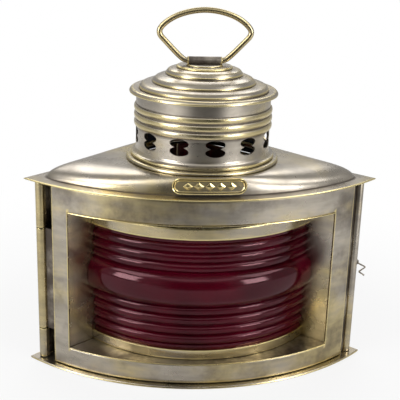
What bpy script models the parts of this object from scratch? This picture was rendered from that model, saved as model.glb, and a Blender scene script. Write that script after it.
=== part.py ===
"""Navigation lamp: a quadrant-shaped brass side light with a ribbed red lens in its hinged front.

Units are metres, +Z is up and the curved front faces -Y. The origin is on the underside, in the middle of
the lamp's outline. In plan the lamp is a sector: its two side walls run back from the front corners towards
one apex, where they meet a narrow back strip. The chimney, the oil font and the burner share one axis.
"""

import math

import bmesh
import bpy
from mathutils import Matrix, Vector

# Clearances
SEAT_GAP = 0.0003
RUNNING_GAP = 0.0003
CUT_OVERRUN = 0.0020
WELD_DISTANCE = 0.000001

# Plan of the lamp: the brim leads, and the base, the door, the posts, the dome and the chimney follow it
BRIM_RADIUS = 0.17678
BRIM_REAR = 0.0140
SECTOR_HALF = math.radians(45.0)
APEX_Y = (BRIM_RADIUS + BRIM_REAR) / 2
BASE_MARGIN = 0.00148
BASE_RADIUS = BRIM_RADIUS - BASE_MARGIN
DOOR_MARGIN = 0.0045
DOOR_RADIUS = BASE_RADIUS - DOOR_MARGIN
POST_MARGIN = 0.0028
POST_RUN = DOOR_RADIUS - POST_MARGIN
STOP_MARGIN = 0.0070
STOP_RUN = POST_RUN - STOP_MARGIN
DOME_MARGIN = 0.00878
DOME_RADIUS = BRIM_RADIUS - DOME_MARGIN
NECK_RADIUS = 0.0473
NECK_SHEET = 0.0013
NECK_BORE = NECK_RADIUS - NECK_SHEET
FLARE_SPREAD = 0.0037
FLARE_RADIUS = NECK_RADIUS + FLARE_SPREAD
COLLAR_SPREAD = 0.0032
COLLAR_RADIUS = FLARE_RADIUS + COLLAR_SPREAD
COLLAR_OVERHANG = 0.0002
DOME_TOP_RADIUS = COLLAR_RADIUS - COLLAR_OVERHANG
CHIMNEY_MARGIN = 0.0030
CHIMNEY_Y = APEX_Y - DOME_RADIUS + DOME_TOP_RADIUS + CHIMNEY_MARGIN

# Base, walls and posts
BASE_THICKNESS = 0.0016
SHEET = 0.0012
WALL_INSET = 0.0050
AIR_HOLE_RADIUS = 0.0028
AIR_HOLE_HEIGHT = 0.0120
AIR_HOLE_PITCH = 0.0120
AIR_HOLE_COUNT = 5
AIR_HOLE_CENTRE_SHARE = 0.50
POST_RADIUS = 0.0032
POST_INSET = 0.0069
POST_DOME = 0.0016
STOP_WIDTH = 0.0150
STOP_THICKNESS = 0.0010
STOP_FOOT = 0.0120

# Hood, a single pressing with a flat brim
BRIM_BOTTOM = 0.1384
HOOD_SHEET = 0.0014
DOME_INSET = 0.0060
DOME_REAR = 0.0220
DOME_HEIGHT = 0.0123
DOME_POWER = 2.1
DOME_ROW_SHARES = (0.0, 0.025, 0.10, 0.23, 0.42, 0.68, 1.0)
HOOD_ARC_STEPS = 22
HOOD_SIDE_STEPS = 5
HOOD_HOLE_MARGIN = 0.0010
HOOD_HOLE_RADIUS = NECK_BORE - HOOD_HOLE_MARGIN
HOOD_TOP = BRIM_BOTTOM + HOOD_SHEET + DOME_HEIGHT

# Chimney
COLLAR_HEIGHT = 0.0024
COLLAR_TOP = HOOD_TOP + SEAT_GAP + COLLAR_HEIGHT
NECK_BOTTOM = COLLAR_TOP + SEAT_GAP
FLARE_HEIGHT = 0.0052
FLARE_LIP = 0.0018
NECK_HEIGHT = 0.0437
NECK_TOP = NECK_BOTTOM + NECK_HEIGHT
BEAD_RISE = 0.0014
BEAD_WIDTH = 0.0046
BEAD_PITCH = 0.00535
BEAD_COUNT = 3
BEAD_START = 0.0225
LOWEST_BEAD = NECK_BOTTOM + BEAD_START
VENT_COUNT = 12
VENT_PHASE = math.radians(5.0)
VENT_WIDTH_SHARE = 0.549
VENT_WIDTH = VENT_WIDTH_SHARE * math.tau * NECK_RADIUS / VENT_COUNT
VENT_LOBE = 0.0062
VENT_START = 0.0084
VENT_LOW = NECK_BOTTOM + VENT_START
VENT_LOBE_SHARE = 0.88

# Cap, a stepped dome
CAP_SPREAD = 0.0048
CAP_RADIUS = NECK_RADIUS + CAP_SPREAD
CAP_OVERLAP = 0.0001
CAP_BOTTOM = NECK_TOP - CAP_OVERLAP
CAP_RISE = 0.0185
CAP_TOP = CAP_BOTTOM + CAP_RISE
CAP_SHEET = 0.0012
STEP_RADIUS_SHARES = (0.382, 0.520, 0.697, 0.870, 1.0)
STEP_NOSE_SHARES = (0.990, 0.765, 0.450, 0.236, 0.080)
STEP_FOOT_SHARES = (0.925, 0.672, 0.365, 0.112, 0.0)
STEP_NOSE = 0.0007
TREAD_BULGE = 0.0008

# Folding handle in its ferrule
HANDLE_WIRE = 0.0020
FERRULE_RADIUS = 0.0029
FERRULE_LENGTH = 0.0240
HANDLE_CLEARANCE = 0.00325
HANDLE_AXIS_Z = CAP_TOP + HANDLE_CLEARANCE
FERRULE_PAD_RADIUS = 0.0128
FERRULE_PAD_HEIGHT = 0.0006
FERRULE_PAD_TOP = CAP_TOP + SEAT_GAP + FERRULE_PAD_HEIGHT
HANDLE_HALF_WIDTH = 0.0317
HANDLE_RISE = 0.0345
# Half of the handle's outline, from the ferrule's mouth round to the top, as shares of half width and rise
HANDLE_SHARES = (
    (0.16, 0.0), (0.32, 0.0), (0.40, 0.006), (0.47, 0.03), (0.53, 0.072), (0.60, 0.13), (0.70, 0.22),
    (0.80, 0.315), (0.90, 0.41), (0.96, 0.47), (0.995, 0.53), (0.995, 0.60), (0.955, 0.665), (0.88, 0.735),
    (0.77, 0.81), (0.64, 0.875), (0.50, 0.925), (0.34, 0.965), (0.17, 0.99), (0.0, 1.0),
)

# Plaque with round ends on the front of the hood
PLATE_HALF_WIDTH = 0.0250
PLATE_HALF_HEIGHT = 0.0056
PLATE_THICKNESS = 0.0018
PLATE_RIM = 0.0012
PLATE_RECESS = 0.0007
PLATE_STANDOFF = 0.0003
PLATE_RAISE = 0.0070
PLATE_CENTRE_Z = BRIM_BOTTOM + HOOD_SHEET + PLATE_RAISE
PLATE_STEPS = 12
PLATE_END_STEPS = 6

# Front door
DOOR_INSET_LEFT = 0.01934
DOOR_INSET_RIGHT = 0.01607
DOOR_LEFT = math.asin(DOOR_INSET_LEFT / DOOR_RADIUS) - SECTOR_HALF
DOOR_RIGHT = SECTOR_HALF - math.asin(DOOR_INSET_RIGHT / DOOR_RADIUS)
DOOR_GAP = 0.0005
DOOR_BOTTOM = BASE_THICKNESS + DOOR_GAP
DOOR_TOP = BRIM_BOTTOM - DOOR_GAP
DOOR_DEPTH = 0.0078
WINDOW_INSET_LEFT = 0.03318
WINDOW_INSET_RIGHT = 0.03609
WINDOW_LEFT = math.asin(WINDOW_INSET_LEFT / DOOR_RADIUS) - SECTOR_HALF
WINDOW_RIGHT = SECTOR_HALF - math.asin(WINDOW_INSET_RIGHT / DOOR_RADIUS)
WINDOW_RAISE = 0.0146
WINDOW_DROP = 0.0181
WINDOW_LOW = DOOR_BOTTOM + WINDOW_RAISE
WINDOW_HIGH = DOOR_TOP - WINDOW_DROP
DOOR_STEPS = 28

# Door hinge at the left corner, three knuckles on one pin
KNUCKLE_RADIUS = 0.00365
HINGE_PIN_RADIUS = 0.0014
KNUCKLE_START = 0.0004
KNUCKLE_END = 0.0005
KNUCKLE_BOTTOM = DOOR_BOTTOM + KNUCKLE_START
KNUCKLE_TOP = DOOR_TOP - KNUCKLE_END
LOWER_KNUCKLE = 0.0230
UPPER_KNUCKLE = 0.0340
LOWER_SEAM = KNUCKLE_BOTTOM + LOWER_KNUCKLE
UPPER_SEAM = KNUCKLE_TOP - UPPER_KNUCKLE
LEAF_THICKNESS = 0.0010
LEAF_REACH = 0.0140

# Ribbed lens and the channels that hold it
LENS_RADIUS = 0.1015
LENS_MARGIN = 0.0083
LENS_CENTRE_Y = APEX_Y - DOOR_RADIUS + LENS_MARGIN + LENS_RADIUS
LENS_THICKNESS = 0.0065
LENS_BORE = LENS_RADIUS - LENS_THICKNESS
# The lens's ends lie in the planes of the reveals, which start at the window's edges behind the door's face
REVEAL_INSET = 0.0324
REVEAL_RADIUS = DOOR_RADIUS - SHEET - 2 * SEAT_GAP
REVEAL_ANGLE = SECTOR_HALF - math.asin(REVEAL_INSET / REVEAL_RADIUS)
LENS_HALF = math.atan2(
    REVEAL_RADIUS * math.sin(REVEAL_ANGLE), LENS_CENTRE_Y - APEX_Y + REVEAL_RADIUS * math.cos(REVEAL_ANGLE)
)
LENS_BELT_HALF = 0.0126
LENS_BULGE = 0.0055
PRISMS_ABOVE = 3
PRISMS_BELOW = 4
PRISM_DEPTH = 0.0026
LENS_RIM = 0.0028
LENS_TONGUE = 0.0030
TONGUE_MARGIN = 0.0015
TONGUE_RADIUS = LENS_RADIUS - TONGUE_MARGIN
LENS_STEPS = 22
BAND_OVERLAP = 0.0007
BAND_WALL = 0.0012
BAND_OUTER = LENS_RADIUS + BAND_OVERLAP
BAND_INNER = LENS_BORE - BAND_WALL
LOWER_BAND_HEIGHT = 0.0073
UPPER_BAND_HEIGHT = 0.0086
UPPER_SLIT = 0.0046
# The prisms share what the belt, the rims, the bands and the slit leave of the window's height
LENS_HEIGHT = WINDOW_HIGH - WINDOW_LOW - LOWER_BAND_HEIGHT - UPPER_BAND_HEIGHT - UPPER_SLIT
PRISM_PITCH = (LENS_HEIGHT - 2 * (LENS_BELT_HALF + LENS_RIM)) / (PRISMS_ABOVE + PRISMS_BELOW)
LENS_LOW = WINDOW_LOW + LOWER_BAND_HEIGHT
LENS_HIGH = LENS_LOW + LENS_HEIGHT
LENS_MIDDLE = LENS_LOW + LENS_RIM + PRISM_PITCH * PRISMS_BELOW + LENS_BELT_HALF
REVEAL_MARGIN = 0.0020
REVEAL_BACK = LENS_BORE - REVEAL_MARGIN

# Wire hook on the door's beaded edge, and the peg on the right wall that it drops over
LATCH_RAISE = 0.0030
LATCH_Z = (DOOR_BOTTOM + DOOR_TOP) / 2 + LATCH_RAISE
LATCH_PIN_RADIUS = 0.0010
LATCH_PIN_HEAD = 0.0018
LATCH_PIN_HEAD_DEPTH = 0.0007
HOOK_WIRE = 0.0006
HOOK_EYE_RADIUS = 0.0023
HOOK_EYE_THICKNESS = 0.0015
# The hanging hook's bends, forwards and up from its eye, as shares of its length
HOOK_LENGTH = 0.0086
HOOK_SHARES = ((0.19, -0.04), (0.92, -0.19), (0.95, -0.25), (0.43, -0.77), (0.43, -0.83), (0.93, -1.0))
PEG_RADIUS = 0.0009
PEG_DROP = 0.0012
PEG_BEHIND = 0.0056

# Oil font
FONT_RADIUS = 0.0350
FONT_HEIGHT = 0.0300
FONT_BOTTOM = BASE_THICKNESS + SEAT_GAP
FONT_TOP = FONT_BOTTOM + FONT_HEIGHT
FONT_FLOOR = 0.0040
FONT_WELL = 0.0110
FONT_NECK = 0.0150
# The shoulder and side of the font, as shares of its radius and height
FONT_RIM_SHARES = (
    (0.44, 0.94), (0.56, 0.90), (0.74, 0.87), (0.90, 0.80), (0.97, 0.70), (1.0, 0.60), (1.0, 0.05),
    (0.96, 0.0),
)
FONT_RING_HEIGHT = 0.0060
FILLER_X = -0.0255
FILLER_RADIUS = 0.0062
FILLER_DROP = 0.0009
FILLER_TOP = FONT_TOP - FILLER_DROP
FILLER_CAP_RADIUS = 0.0074
FILLER_CAP_HEIGHT = 0.0056
FILLER_FLUTES = 12

# Burner and flat wick
BURNER_RADIUS = 0.0150
BURNER_HEIGHT = 0.0120
BURNER_FLANGE = 0.0165
BURNER_FLANGE_HEIGHT = 0.0016
CONE_HEIGHT = 0.0140
CONE_TOP_RADIUS = 0.0060
CONE_SHEET = 0.0010
CONE_SLOT_WIDTH = 0.0220
CONE_SLOT_DEPTH = 0.0064
CONE_SLOT_SHARE = 0.45
BURNER_BOTTOM = FONT_TOP + SEAT_GAP
BURNER_TOP = BURNER_BOTTOM + BURNER_HEIGHT
WICK_WIDTH = 0.0140
WICK_THICKNESS = 0.0020
TUBE_WALL = 0.0008
TUBE_RAISE = 0.0013
TUBE_HEIGHT = 0.0210
TUBE_BOTTOM = BURNER_BOTTOM + TUBE_RAISE
TUBE_TOP = TUBE_BOTTOM + TUBE_HEIGHT
WICK_RAISE = 0.0091
WICK_SHOWN = 0.0075
WICK_BOTTOM = FONT_BOTTOM + FONT_FLOOR + WICK_RAISE
WICK_TOP = TUBE_TOP + WICK_SHOWN
SHAFT_RADIUS = 0.0012
SHAFT_LENGTH = 0.0330
SHAFT_RAISE = 0.0073
SHAFT_Z = BURNER_BOTTOM + SHAFT_RAISE
WHEEL_RADIUS = 0.0032
WHEEL_ROOT_SHARE = 0.72
WHEEL_THICKNESS = 0.0010
WHEEL_SPACING = 0.0080
WHEEL_TEETH = 10
KNOB_RADIUS = 0.0066
KNOB_THICKNESS = 0.0036
KNOB_FLUTES = 16
KNOB_FLUTE_SHARE = 0.90

# Facets
ROUND_STEPS = 32
SMALL_STEPS = 18
TINY_STEPS = 10
BASE_STEPS = 28
SHELF_STEPS = 20
SMOOTH_ANGLE = math.radians(35.0)
HOOD_SMOOTH_ANGLE = math.radians(50.0)
EDGE_ANGLE = math.radians(60.0)
SHOULDER_ANGLE = math.radians(25.0)

BRASS = (0.46, 0.38, 0.25)
PALE_BRASS = (0.56, 0.48, 0.32)
DARK_BRASS = (0.22, 0.18, 0.13)
RUBY = (0.17, 0.012, 0.035)
COTTON = (0.75, 0.70, 0.58)
STEEL = (0.36, 0.35, 0.33)

PARTS = None
CUTTERS = None


def start_collections():
    """Empties the scene and makes one collection for the lamp's pieces and one for the cutting shapes."""
    global PARTS, CUTTERS
    for old in list(bpy.data.objects):
        bpy.data.objects.remove(old, do_unlink=True)
    PARTS = bpy.data.collections.new("navigation_lamp")
    CUTTERS = bpy.data.collections.new("cutters")
    bpy.context.scene.collection.children.link(PARTS)
    bpy.context.scene.collection.children.link(CUTTERS)


def material(name, colour, roughness, metallic, transmission=0.0):
    """A Principled material that all pieces of one finish share."""
    found = bpy.data.materials.get(name)
    if found:
        return found
    made = bpy.data.materials.new(name)
    made.use_nodes = True
    shader = made.node_tree.nodes["Principled BSDF"]
    shader.inputs["Base Color"].default_value = (*colour, 1.0)
    shader.inputs["Roughness"].default_value = roughness
    shader.inputs["Metallic"].default_value = metallic
    shader.inputs["Transmission Weight"].default_value = transmission
    return made


def brass():
    return material("antique_brass", BRASS, 0.34, 1.0)


def pale_brass():
    return material("rubbed_brass", PALE_BRASS, 0.28, 1.0)


def dark_brass():
    return material("darkened_brass", DARK_BRASS, 0.45, 1.0)


def ruby_glass():
    return material("ruby_glass", RUBY, 0.08, 0.0, 0.8)


def cotton():
    return material("wick_cotton", COTTON, 0.9, 0.0)


def steel():
    return material("pin_steel", STEEL, 0.3, 1.0)


def place(name, mesh, finish, location=(0.0, 0.0, 0.0)):
    """Makes an object of a mesh, gives it its finish and puts it with the lamp's pieces."""
    made = bpy.data.objects.new(name, mesh)
    made.location = location
    made.data.materials.append(finish)
    PARTS.objects.link(made)
    return made


def close_mesh(name, shape, smooth=True):
    """Turns a bmesh into a mesh with welded corners and outward faces, smooth but for its sharp edges."""
    bmesh.ops.remove_doubles(shape, verts=shape.verts, dist=WELD_DISTANCE)
    bmesh.ops.recalc_face_normals(shape, faces=shape.faces)
    mesh = bpy.data.meshes.new(name)
    shape.to_mesh(mesh)
    shape.free()
    if smooth:
        mesh.shade_smooth()
        mesh.set_sharp_from_angle(angle=SMOOTH_ANGLE)
    return mesh


def turned(name, profile, finish, steps=ROUND_STEPS, location=(0.0, 0.0, 0.0), closed=False):
    """A profile at +X, from its top down its outer side, turned about Z with a Screw modifier."""
    mesh = bpy.data.meshes.new(name)
    edges = [(i, i + 1) for i in range(len(profile) - 1)]
    if closed:
        edges.append((len(profile) - 1, 0))
    mesh.from_pydata([(radius, 0.0, height) for radius, height in profile], edges, [])
    made = place(name, mesh, finish, location)
    screw = made.modifiers.new("turn", "SCREW")
    screw.axis = "Z"
    screw.angle = math.tau
    screw.steps = steps
    screw.render_steps = steps
    screw.use_merge_vertices = True
    screw.merge_threshold = WELD_DISTANCE
    screw.use_smooth_shade = True
    return made


def polar(radius, angle, centre_y=APEX_Y):
    """A plan point at a radius from a centre on the lamp's middle plane, the angle counted from -Y to +X."""
    return (radius * math.sin(angle), centre_y - radius * math.cos(angle))


def swept(name, profile, finish, start, end, steps, centre_y=APEX_Y):
    """A profile of radius and height swept about an upright axis from one angle to another."""
    shape = bmesh.new()
    corners = []
    for radius, height in profile:
        x, y = polar(radius, start, centre_y)
        corners.append(shape.verts.new((x, y, height)))
    face = shape.faces.new(corners)
    bmesh.ops.spin(
        shape, geom=[face], cent=(0.0, centre_y, 0.0), axis=(0.0, 0.0, 1.0),
        angle=end - start, steps=steps, use_duplicate=False,
    )
    return place(name, close_mesh(name, shape), finish)


def rectangle(low_radius, high_radius, low, high):
    return [(low_radius, low), (high_radius, low), (high_radius, high), (low_radius, high)]


def plate(name, outline, finish, bottom, thickness):
    """A flat outline in plan, raised to a thickness: a filled 2D curve made into a mesh."""
    curve = bpy.data.curves.new(name, "CURVE")
    curve.dimensions = "2D"
    curve.fill_mode = "BOTH"
    curve.extrude = thickness / 2
    spline = curve.splines.new("POLY")
    spline.points.add(len(outline) - 1)
    for point, (x, y) in zip(spline.points, outline):
        point.co = (x, y, 0.0, 1.0)
    spline.use_cyclic_u = True
    drawn = bpy.data.objects.new(name + "_outline", curve)
    drawn.location = (0.0, 0.0, bottom + thickness / 2)
    CUTTERS.objects.link(drawn)
    return mesh_of_curve(name, drawn, finish)


def mesh_of_curve(name, drawn, finish):
    """Replaces a curve object by a closed mesh in the same place."""
    bpy.context.view_layer.update()
    graph = bpy.context.evaluated_depsgraph_get()
    mesh = bpy.data.meshes.new_from_object(drawn.evaluated_get(graph))
    mesh.materials.clear()
    shape = bmesh.new()
    shape.from_mesh(mesh)
    bpy.data.meshes.remove(mesh)
    made = place(name, close_mesh(name, shape), finish)
    made.matrix_world = drawn.matrix_world
    curve = drawn.data
    bpy.data.objects.remove(drawn, do_unlink=True)
    bpy.data.curves.remove(curve)
    return made


def block(name, corner_low, corner_high, finish, turn=0.0):
    """A box between two corners, turned about the upright through its middle."""
    low = Vector(corner_low)
    high = Vector(corner_high)
    size = high - low
    shape = bmesh.new()
    bmesh.ops.create_cube(shape, size=1.0, matrix=Matrix.Diagonal((*size, 1.0)))
    made = place(name, close_mesh(name, shape, smooth=False), finish, (low + high) / 2)
    made.rotation_euler.z = turn
    return made


def rod(name, radius, start, end, finish, steps=SMALL_STEPS, end_radius=None):
    """A round bar, or a cone, from one point to another."""
    start = Vector(start)
    end = Vector(end)
    axis = end - start
    shape = bmesh.new()
    bmesh.ops.create_cone(
        shape, cap_ends=True, segments=steps, radius1=radius,
        radius2=radius if end_radius is None else end_radius, depth=axis.length,
    )
    made = place(name, close_mesh(name, shape), finish, (start + end) / 2)
    made.rotation_euler = Vector((0.0, 0.0, 1.0)).rotation_difference(axis).to_euler()
    return made


def as_cutter(tool):
    """Moves a shape from the lamp's pieces to the cutting shapes."""
    PARTS.objects.unlink(tool)
    CUTTERS.objects.link(tool)
    tool.hide_render = True
    tool.display_type = "WIRE"


def combine(piece, tool, operation):
    """Cuts a shape out of a piece or joins it on, and keeps the shape as a cutter."""
    as_cutter(tool)
    step = piece.modifiers.new(tool.name, "BOOLEAN")
    step.operation = operation
    step.solver = "EXACT"
    step.object = tool


def cut(piece, tool):
    combine(piece, tool, "DIFFERENCE")


def join(piece, tool):
    combine(piece, tool, "UNION")


def keep_common(piece, tool):
    combine(piece, tool, "INTERSECT")


def pivot(name, location, pieces):
    """An empty on a joint's axis that carries the pieces which move on it."""
    empty = bpy.data.objects.new(name, None)
    empty.location = location
    PARTS.objects.link(empty)
    bpy.context.view_layer.update()
    for piece in pieces:
        piece.parent = empty
        piece.matrix_parent_inverse = empty.matrix_world.inverted()
    return empty


def wall_point(side, run, offset):
    """A plan point by its run from the apex along a front corner's ray and its offset outwards from that ray.

    The side is +1 at the right and -1 at the left.
    """
    across = run * math.sin(SECTOR_HALF) + offset * math.cos(SECTOR_HALF)
    back = run * math.cos(SECTOR_HALF) - offset * math.sin(SECTOR_HALF)
    return (side * across, APEX_Y - back)


def wall_normal(side):
    return Vector((side * math.cos(SECTOR_HALF), math.sin(SECTOR_HALF), 0.0))


def wall_forward(side):
    return Vector((side * math.sin(SECTOR_HALF), -math.cos(SECTOR_HALF), 0.0))


def corner_angle(radius, inset):
    """The angle at which an arc meets the side line that is set in from the sector's edge."""
    return SECTOR_HALF - math.asin(inset / radius)


def rear_half_width(rear, inset):
    """Half the width of the rear flat where it meets the side lines."""
    return (rear * math.sin(SECTOR_HALF) - inset) / math.cos(SECTOR_HALF)


def sector_outline(radius, inset, rear, arc_steps=BASE_STEPS, side_steps=1):
    """The lamp's plan outline, anticlockwise: the front arc, the right side, the rear flat, the left side."""
    half = corner_angle(radius, inset)
    points = [polar(radius, -half + 2 * half * i / arc_steps) for i in range(arc_steps + 1)]
    back = rear_half_width(rear, inset)
    right = Vector(points[-1])
    rear_right = Vector((back, APEX_Y - rear))
    rear_left = Vector((-back, APEX_Y - rear))
    left = Vector(points[0])
    for i in range(1, side_steps + 1):
        points.append(tuple(right.lerp(rear_right, i / side_steps)))
    for i in range(side_steps):
        points.append(tuple(rear_left.lerp(left, i / side_steps)))
    return points


def make_base():
    outline = sector_outline(BASE_RADIUS, 0.0, BRIM_REAR)
    base = plate("base_plate", outline, brass(), 0.0, BASE_THICKNESS)
    rolled = base.modifiers.new("rolled_edge", "BEVEL")
    rolled.width = BASE_THICKNESS / 4
    rolled.segments = 1
    rolled.limit_method = "ANGLE"
    rolled.angle_limit = EDGE_ANGLE


WALL_LOW = BASE_THICKNESS + SEAT_GAP
WALL_HIGH = BRIM_BOTTOM - SEAT_GAP
WALL_REAR = BRIM_REAR + WALL_INSET


def make_side_wall(side, name, edge_radius):
    """A flat wall that ends just behind its round front edge, with a row of air holes near its foot."""
    inner = WALL_INSET + SHEET
    front = POST_RUN - edge_radius - SEAT_GAP
    outline = [
        wall_point(side, front, -WALL_INSET),
        (side * rear_half_width(WALL_REAR, WALL_INSET), APEX_Y - WALL_REAR),
        (side * rear_half_width(WALL_REAR, inner), APEX_Y - WALL_REAR),
        wall_point(side, front, -inner),
    ]
    wall = plate(name, outline, brass(), WALL_LOW, WALL_HIGH - WALL_LOW)
    first = POST_RUN * AIR_HOLE_CENTRE_SHARE - AIR_HOLE_PITCH * (AIR_HOLE_COUNT - 1) / 2
    for i in range(AIR_HOLE_COUNT):
        run = first + AIR_HOLE_PITCH * i
        outside = wall_point(side, run, -WALL_INSET + CUT_OVERRUN)
        inside = wall_point(side, run, -inner - CUT_OVERRUN)
        start = (*outside, AIR_HOLE_HEIGHT)
        end = (*inside, AIR_HOLE_HEIGHT)
        tool = rod(f"{name}_air_hole_{i}", AIR_HOLE_RADIUS, start, end, dark_brass(), TINY_STEPS)
        cut(wall, tool)


def make_back_strip():
    """The narrow flat that closes the apex between the two walls."""
    half = rear_half_width(WALL_REAR, WALL_INSET + SHEET) - SEAT_GAP / math.cos(SECTOR_HALF)
    front = APEX_Y - WALL_REAR - SHEET
    block("back_strip", (-half, front, WALL_LOW), (half, APEX_Y - WALL_REAR, WALL_HIGH), brass())


def make_door_stop(side, name, packing):
    """An angle strip inside the wall, or inside the hinge leaf there, that the closed door rests against."""
    inner = WALL_INSET + SHEET + SEAT_GAP + packing
    outline = [
        wall_point(side, STOP_RUN, -inner),
        wall_point(side, STOP_RUN - STOP_FOOT, -inner),
        wall_point(side, STOP_RUN - STOP_FOOT, -inner - STOP_THICKNESS),
        wall_point(side, STOP_RUN - STOP_THICKNESS, -inner - STOP_THICKNESS),
        wall_point(side, STOP_RUN - STOP_THICKNESS, -inner - STOP_WIDTH),
        wall_point(side, STOP_RUN, -inner - STOP_WIDTH),
    ]
    plate(name, outline, dark_brass(), WALL_LOW, WALL_HIGH - WALL_LOW)


def dome_height(share):
    """The hood's rise at a share of the way from its foot to the ring round the chimney."""
    return DOME_HEIGHT * (1 - (1 - share) ** DOME_POWER) ** (1 / DOME_POWER)


def make_hood():
    """One pressing: a flat brim, then a dome that passes from the sector to a circle, open at the top."""
    foot = sector_outline(DOME_RADIUS, DOME_INSET, DOME_REAR, HOOD_ARC_STEPS, HOOD_SIDE_STEPS)
    brim = sector_outline(BRIM_RADIUS, 0.0, BRIM_REAR, HOOD_ARC_STEPS, HOOD_SIDE_STEPS)
    brim_top = BRIM_BOTTOM + HOOD_SHEET
    centre = Vector((0.0, CHIMNEY_Y))
    directions = [(Vector(point) - centre).normalized() for point in foot]
    rows = [[(x, y, brim_top) for x, y in brim]]
    for share in DOME_ROW_SHARES:
        row = []
        for point, direction in zip(foot, directions):
            flat = Vector(point).lerp(centre + direction * DOME_TOP_RADIUS, share)
            row.append((flat.x, flat.y, brim_top + dome_height(share)))
        rows.append(row)
    rows.append([(*(centre + d * HOOD_HOLE_RADIUS), brim_top + DOME_HEIGHT) for d in directions])
    shape = bmesh.new()
    rings = [[shape.verts.new(corner) for corner in row] for row in rows]
    count = len(foot)
    for lower, upper in zip(rings, rings[1:]):
        for i in range(count):
            j = (i + 1) % count
            shape.faces.new((lower[i], lower[j], upper[j], upper[i]))
    mesh = bpy.data.meshes.new("hood")
    shape.to_mesh(mesh)
    shape.free()
    mesh.shade_smooth()
    mesh.set_sharp_from_angle(angle=HOOD_SMOOTH_ANGLE)
    hood = place("hood", mesh, brass())
    wall = hood.modifiers.new("sheet", "SOLIDIFY")
    wall.thickness = HOOD_SHEET
    wall.offset = -1.0


def make_collar():
    """The ring between the hood and the chimney."""
    low = HOOD_TOP + SEAT_GAP
    shoulder = COLLAR_HEIGHT / 3
    profile = [
        (NECK_BORE, COLLAR_TOP),
        (COLLAR_RADIUS - shoulder * 2, COLLAR_TOP),
        (COLLAR_RADIUS - shoulder / 2, COLLAR_TOP - shoulder / 2),
        (COLLAR_RADIUS, COLLAR_TOP - shoulder * 1.5),
        (COLLAR_RADIUS, low),
        (NECK_BORE, low),
    ]
    turned("chimney_collar", profile, brass(), ROUND_STEPS, (0.0, CHIMNEY_Y, 0.0), closed=True)


def neck_profile():
    """From the top of the neck down past three beads to the flared foot, then up the bore."""
    points = [(NECK_BORE, NECK_TOP), (NECK_RADIUS, NECK_TOP)]
    arc_points = 4
    for bead in reversed(range(BEAD_COUNT)):
        middle = LOWEST_BEAD + bead * BEAD_PITCH
        for i in range(arc_points):
            angle = math.pi * i / (arc_points - 1)
            height = middle + math.cos(angle) * BEAD_WIDTH / 2
            points.append((NECK_RADIUS + math.sin(angle) * BEAD_RISE, height))
    flare_steps = 3
    for i in range(flare_steps + 1):
        angle = math.pi / 2 * i / flare_steps
        radius = NECK_RADIUS + (FLARE_RADIUS - NECK_RADIUS) * (1 - math.cos(angle))
        height = NECK_BOTTOM + FLARE_LIP + (FLARE_HEIGHT - FLARE_LIP) * (1 - math.sin(angle))
        points.append((radius, height))
    points.append((FLARE_RADIUS, NECK_BOTTOM))
    points.append((NECK_BORE, NECK_BOTTOM))
    return points


def vent_outline():
    """Two flattened ovals, one above the other and overlapping, as one outline of width and height."""
    half_width = VENT_WIDTH / 2
    half_height = VENT_LOBE / 2
    spacing = VENT_LOBE * VENT_LOBE_SHARE
    waist = math.asin(spacing / 2 / half_height)
    lobe_points = 8
    points = []
    sweep = math.pi + 2 * waist
    for lobe in (0, 1):
        middle = VENT_LOW + half_height + lobe * spacing
        start = lobe * math.pi - math.pi - waist
        for i in range(lobe_points):
            angle = start + sweep * (i + 0.5) / lobe_points
            points.append((half_width * math.cos(angle), middle + half_height * math.sin(angle)))
    return points


def upright_bar(name, outline, front, back, location=(0.0, 0.0, 0.0)):
    """A bar along Y whose outline is given as width and height, for cutting."""
    shape = bmesh.new()
    face = shape.faces.new([shape.verts.new((x, front, z)) for x, z in outline])
    grown = bmesh.ops.extrude_face_region(shape, geom=[face])
    moved = [item for item in grown["geom"] if isinstance(item, bmesh.types.BMVert)]
    bmesh.ops.translate(shape, verts=moved, vec=(0.0, back - front, 0.0))
    return place(name, close_mesh(name, shape, smooth=False), dark_brass(), location)


def make_neck():
    """The chimney's neck with its flared foot, its three beads and the ring of air vents."""
    neck = turned(
        "chimney_neck", neck_profile(), brass(), ROUND_STEPS, (0.0, CHIMNEY_Y, 0.0), closed=True
    )
    outline = vent_outline()
    inner = NECK_BORE - CUT_OVERRUN
    outer = NECK_RADIUS + CUT_OVERRUN
    for i in range(VENT_COUNT):
        tool = upright_bar(f"vent_{i}", outline, -inner, -outer, (0.0, CHIMNEY_Y, 0.0))
        tool.rotation_euler.z = VENT_PHASE + math.tau * i / VENT_COUNT
        cut(neck, tool)


def cap_outer_profile():
    """The dome from its centre to its brim: for each step a bulging tread, a round nose and a riser."""
    points = [(0.0, CAP_TOP)]
    radius_before = 0.0
    height_before = CAP_TOP
    steps = zip(STEP_RADIUS_SHARES, STEP_NOSE_SHARES, STEP_FOOT_SHARES)
    for index, (radius_share, nose_share, foot_share) in enumerate(steps):
        radius = CAP_RADIUS * radius_share
        nose = CAP_BOTTOM + CAP_RISE * nose_share
        foot = CAP_BOTTOM + CAP_RISE * foot_share
        if index:
            middle = (radius_before + radius - STEP_NOSE) / 2
            points.append((middle, (height_before + nose) / 2 + TREAD_BULGE))
        points.append((radius - STEP_NOSE, nose + STEP_NOSE / 2 if index else height_before))
        points.append((radius, nose - STEP_NOSE / 2))
        last = index == len(STEP_RADIUS_SHARES) - 1
        points.append((radius if last else radius - STEP_NOSE / 2, foot))
        radius_before = radius
        height_before = foot
    return points


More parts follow.
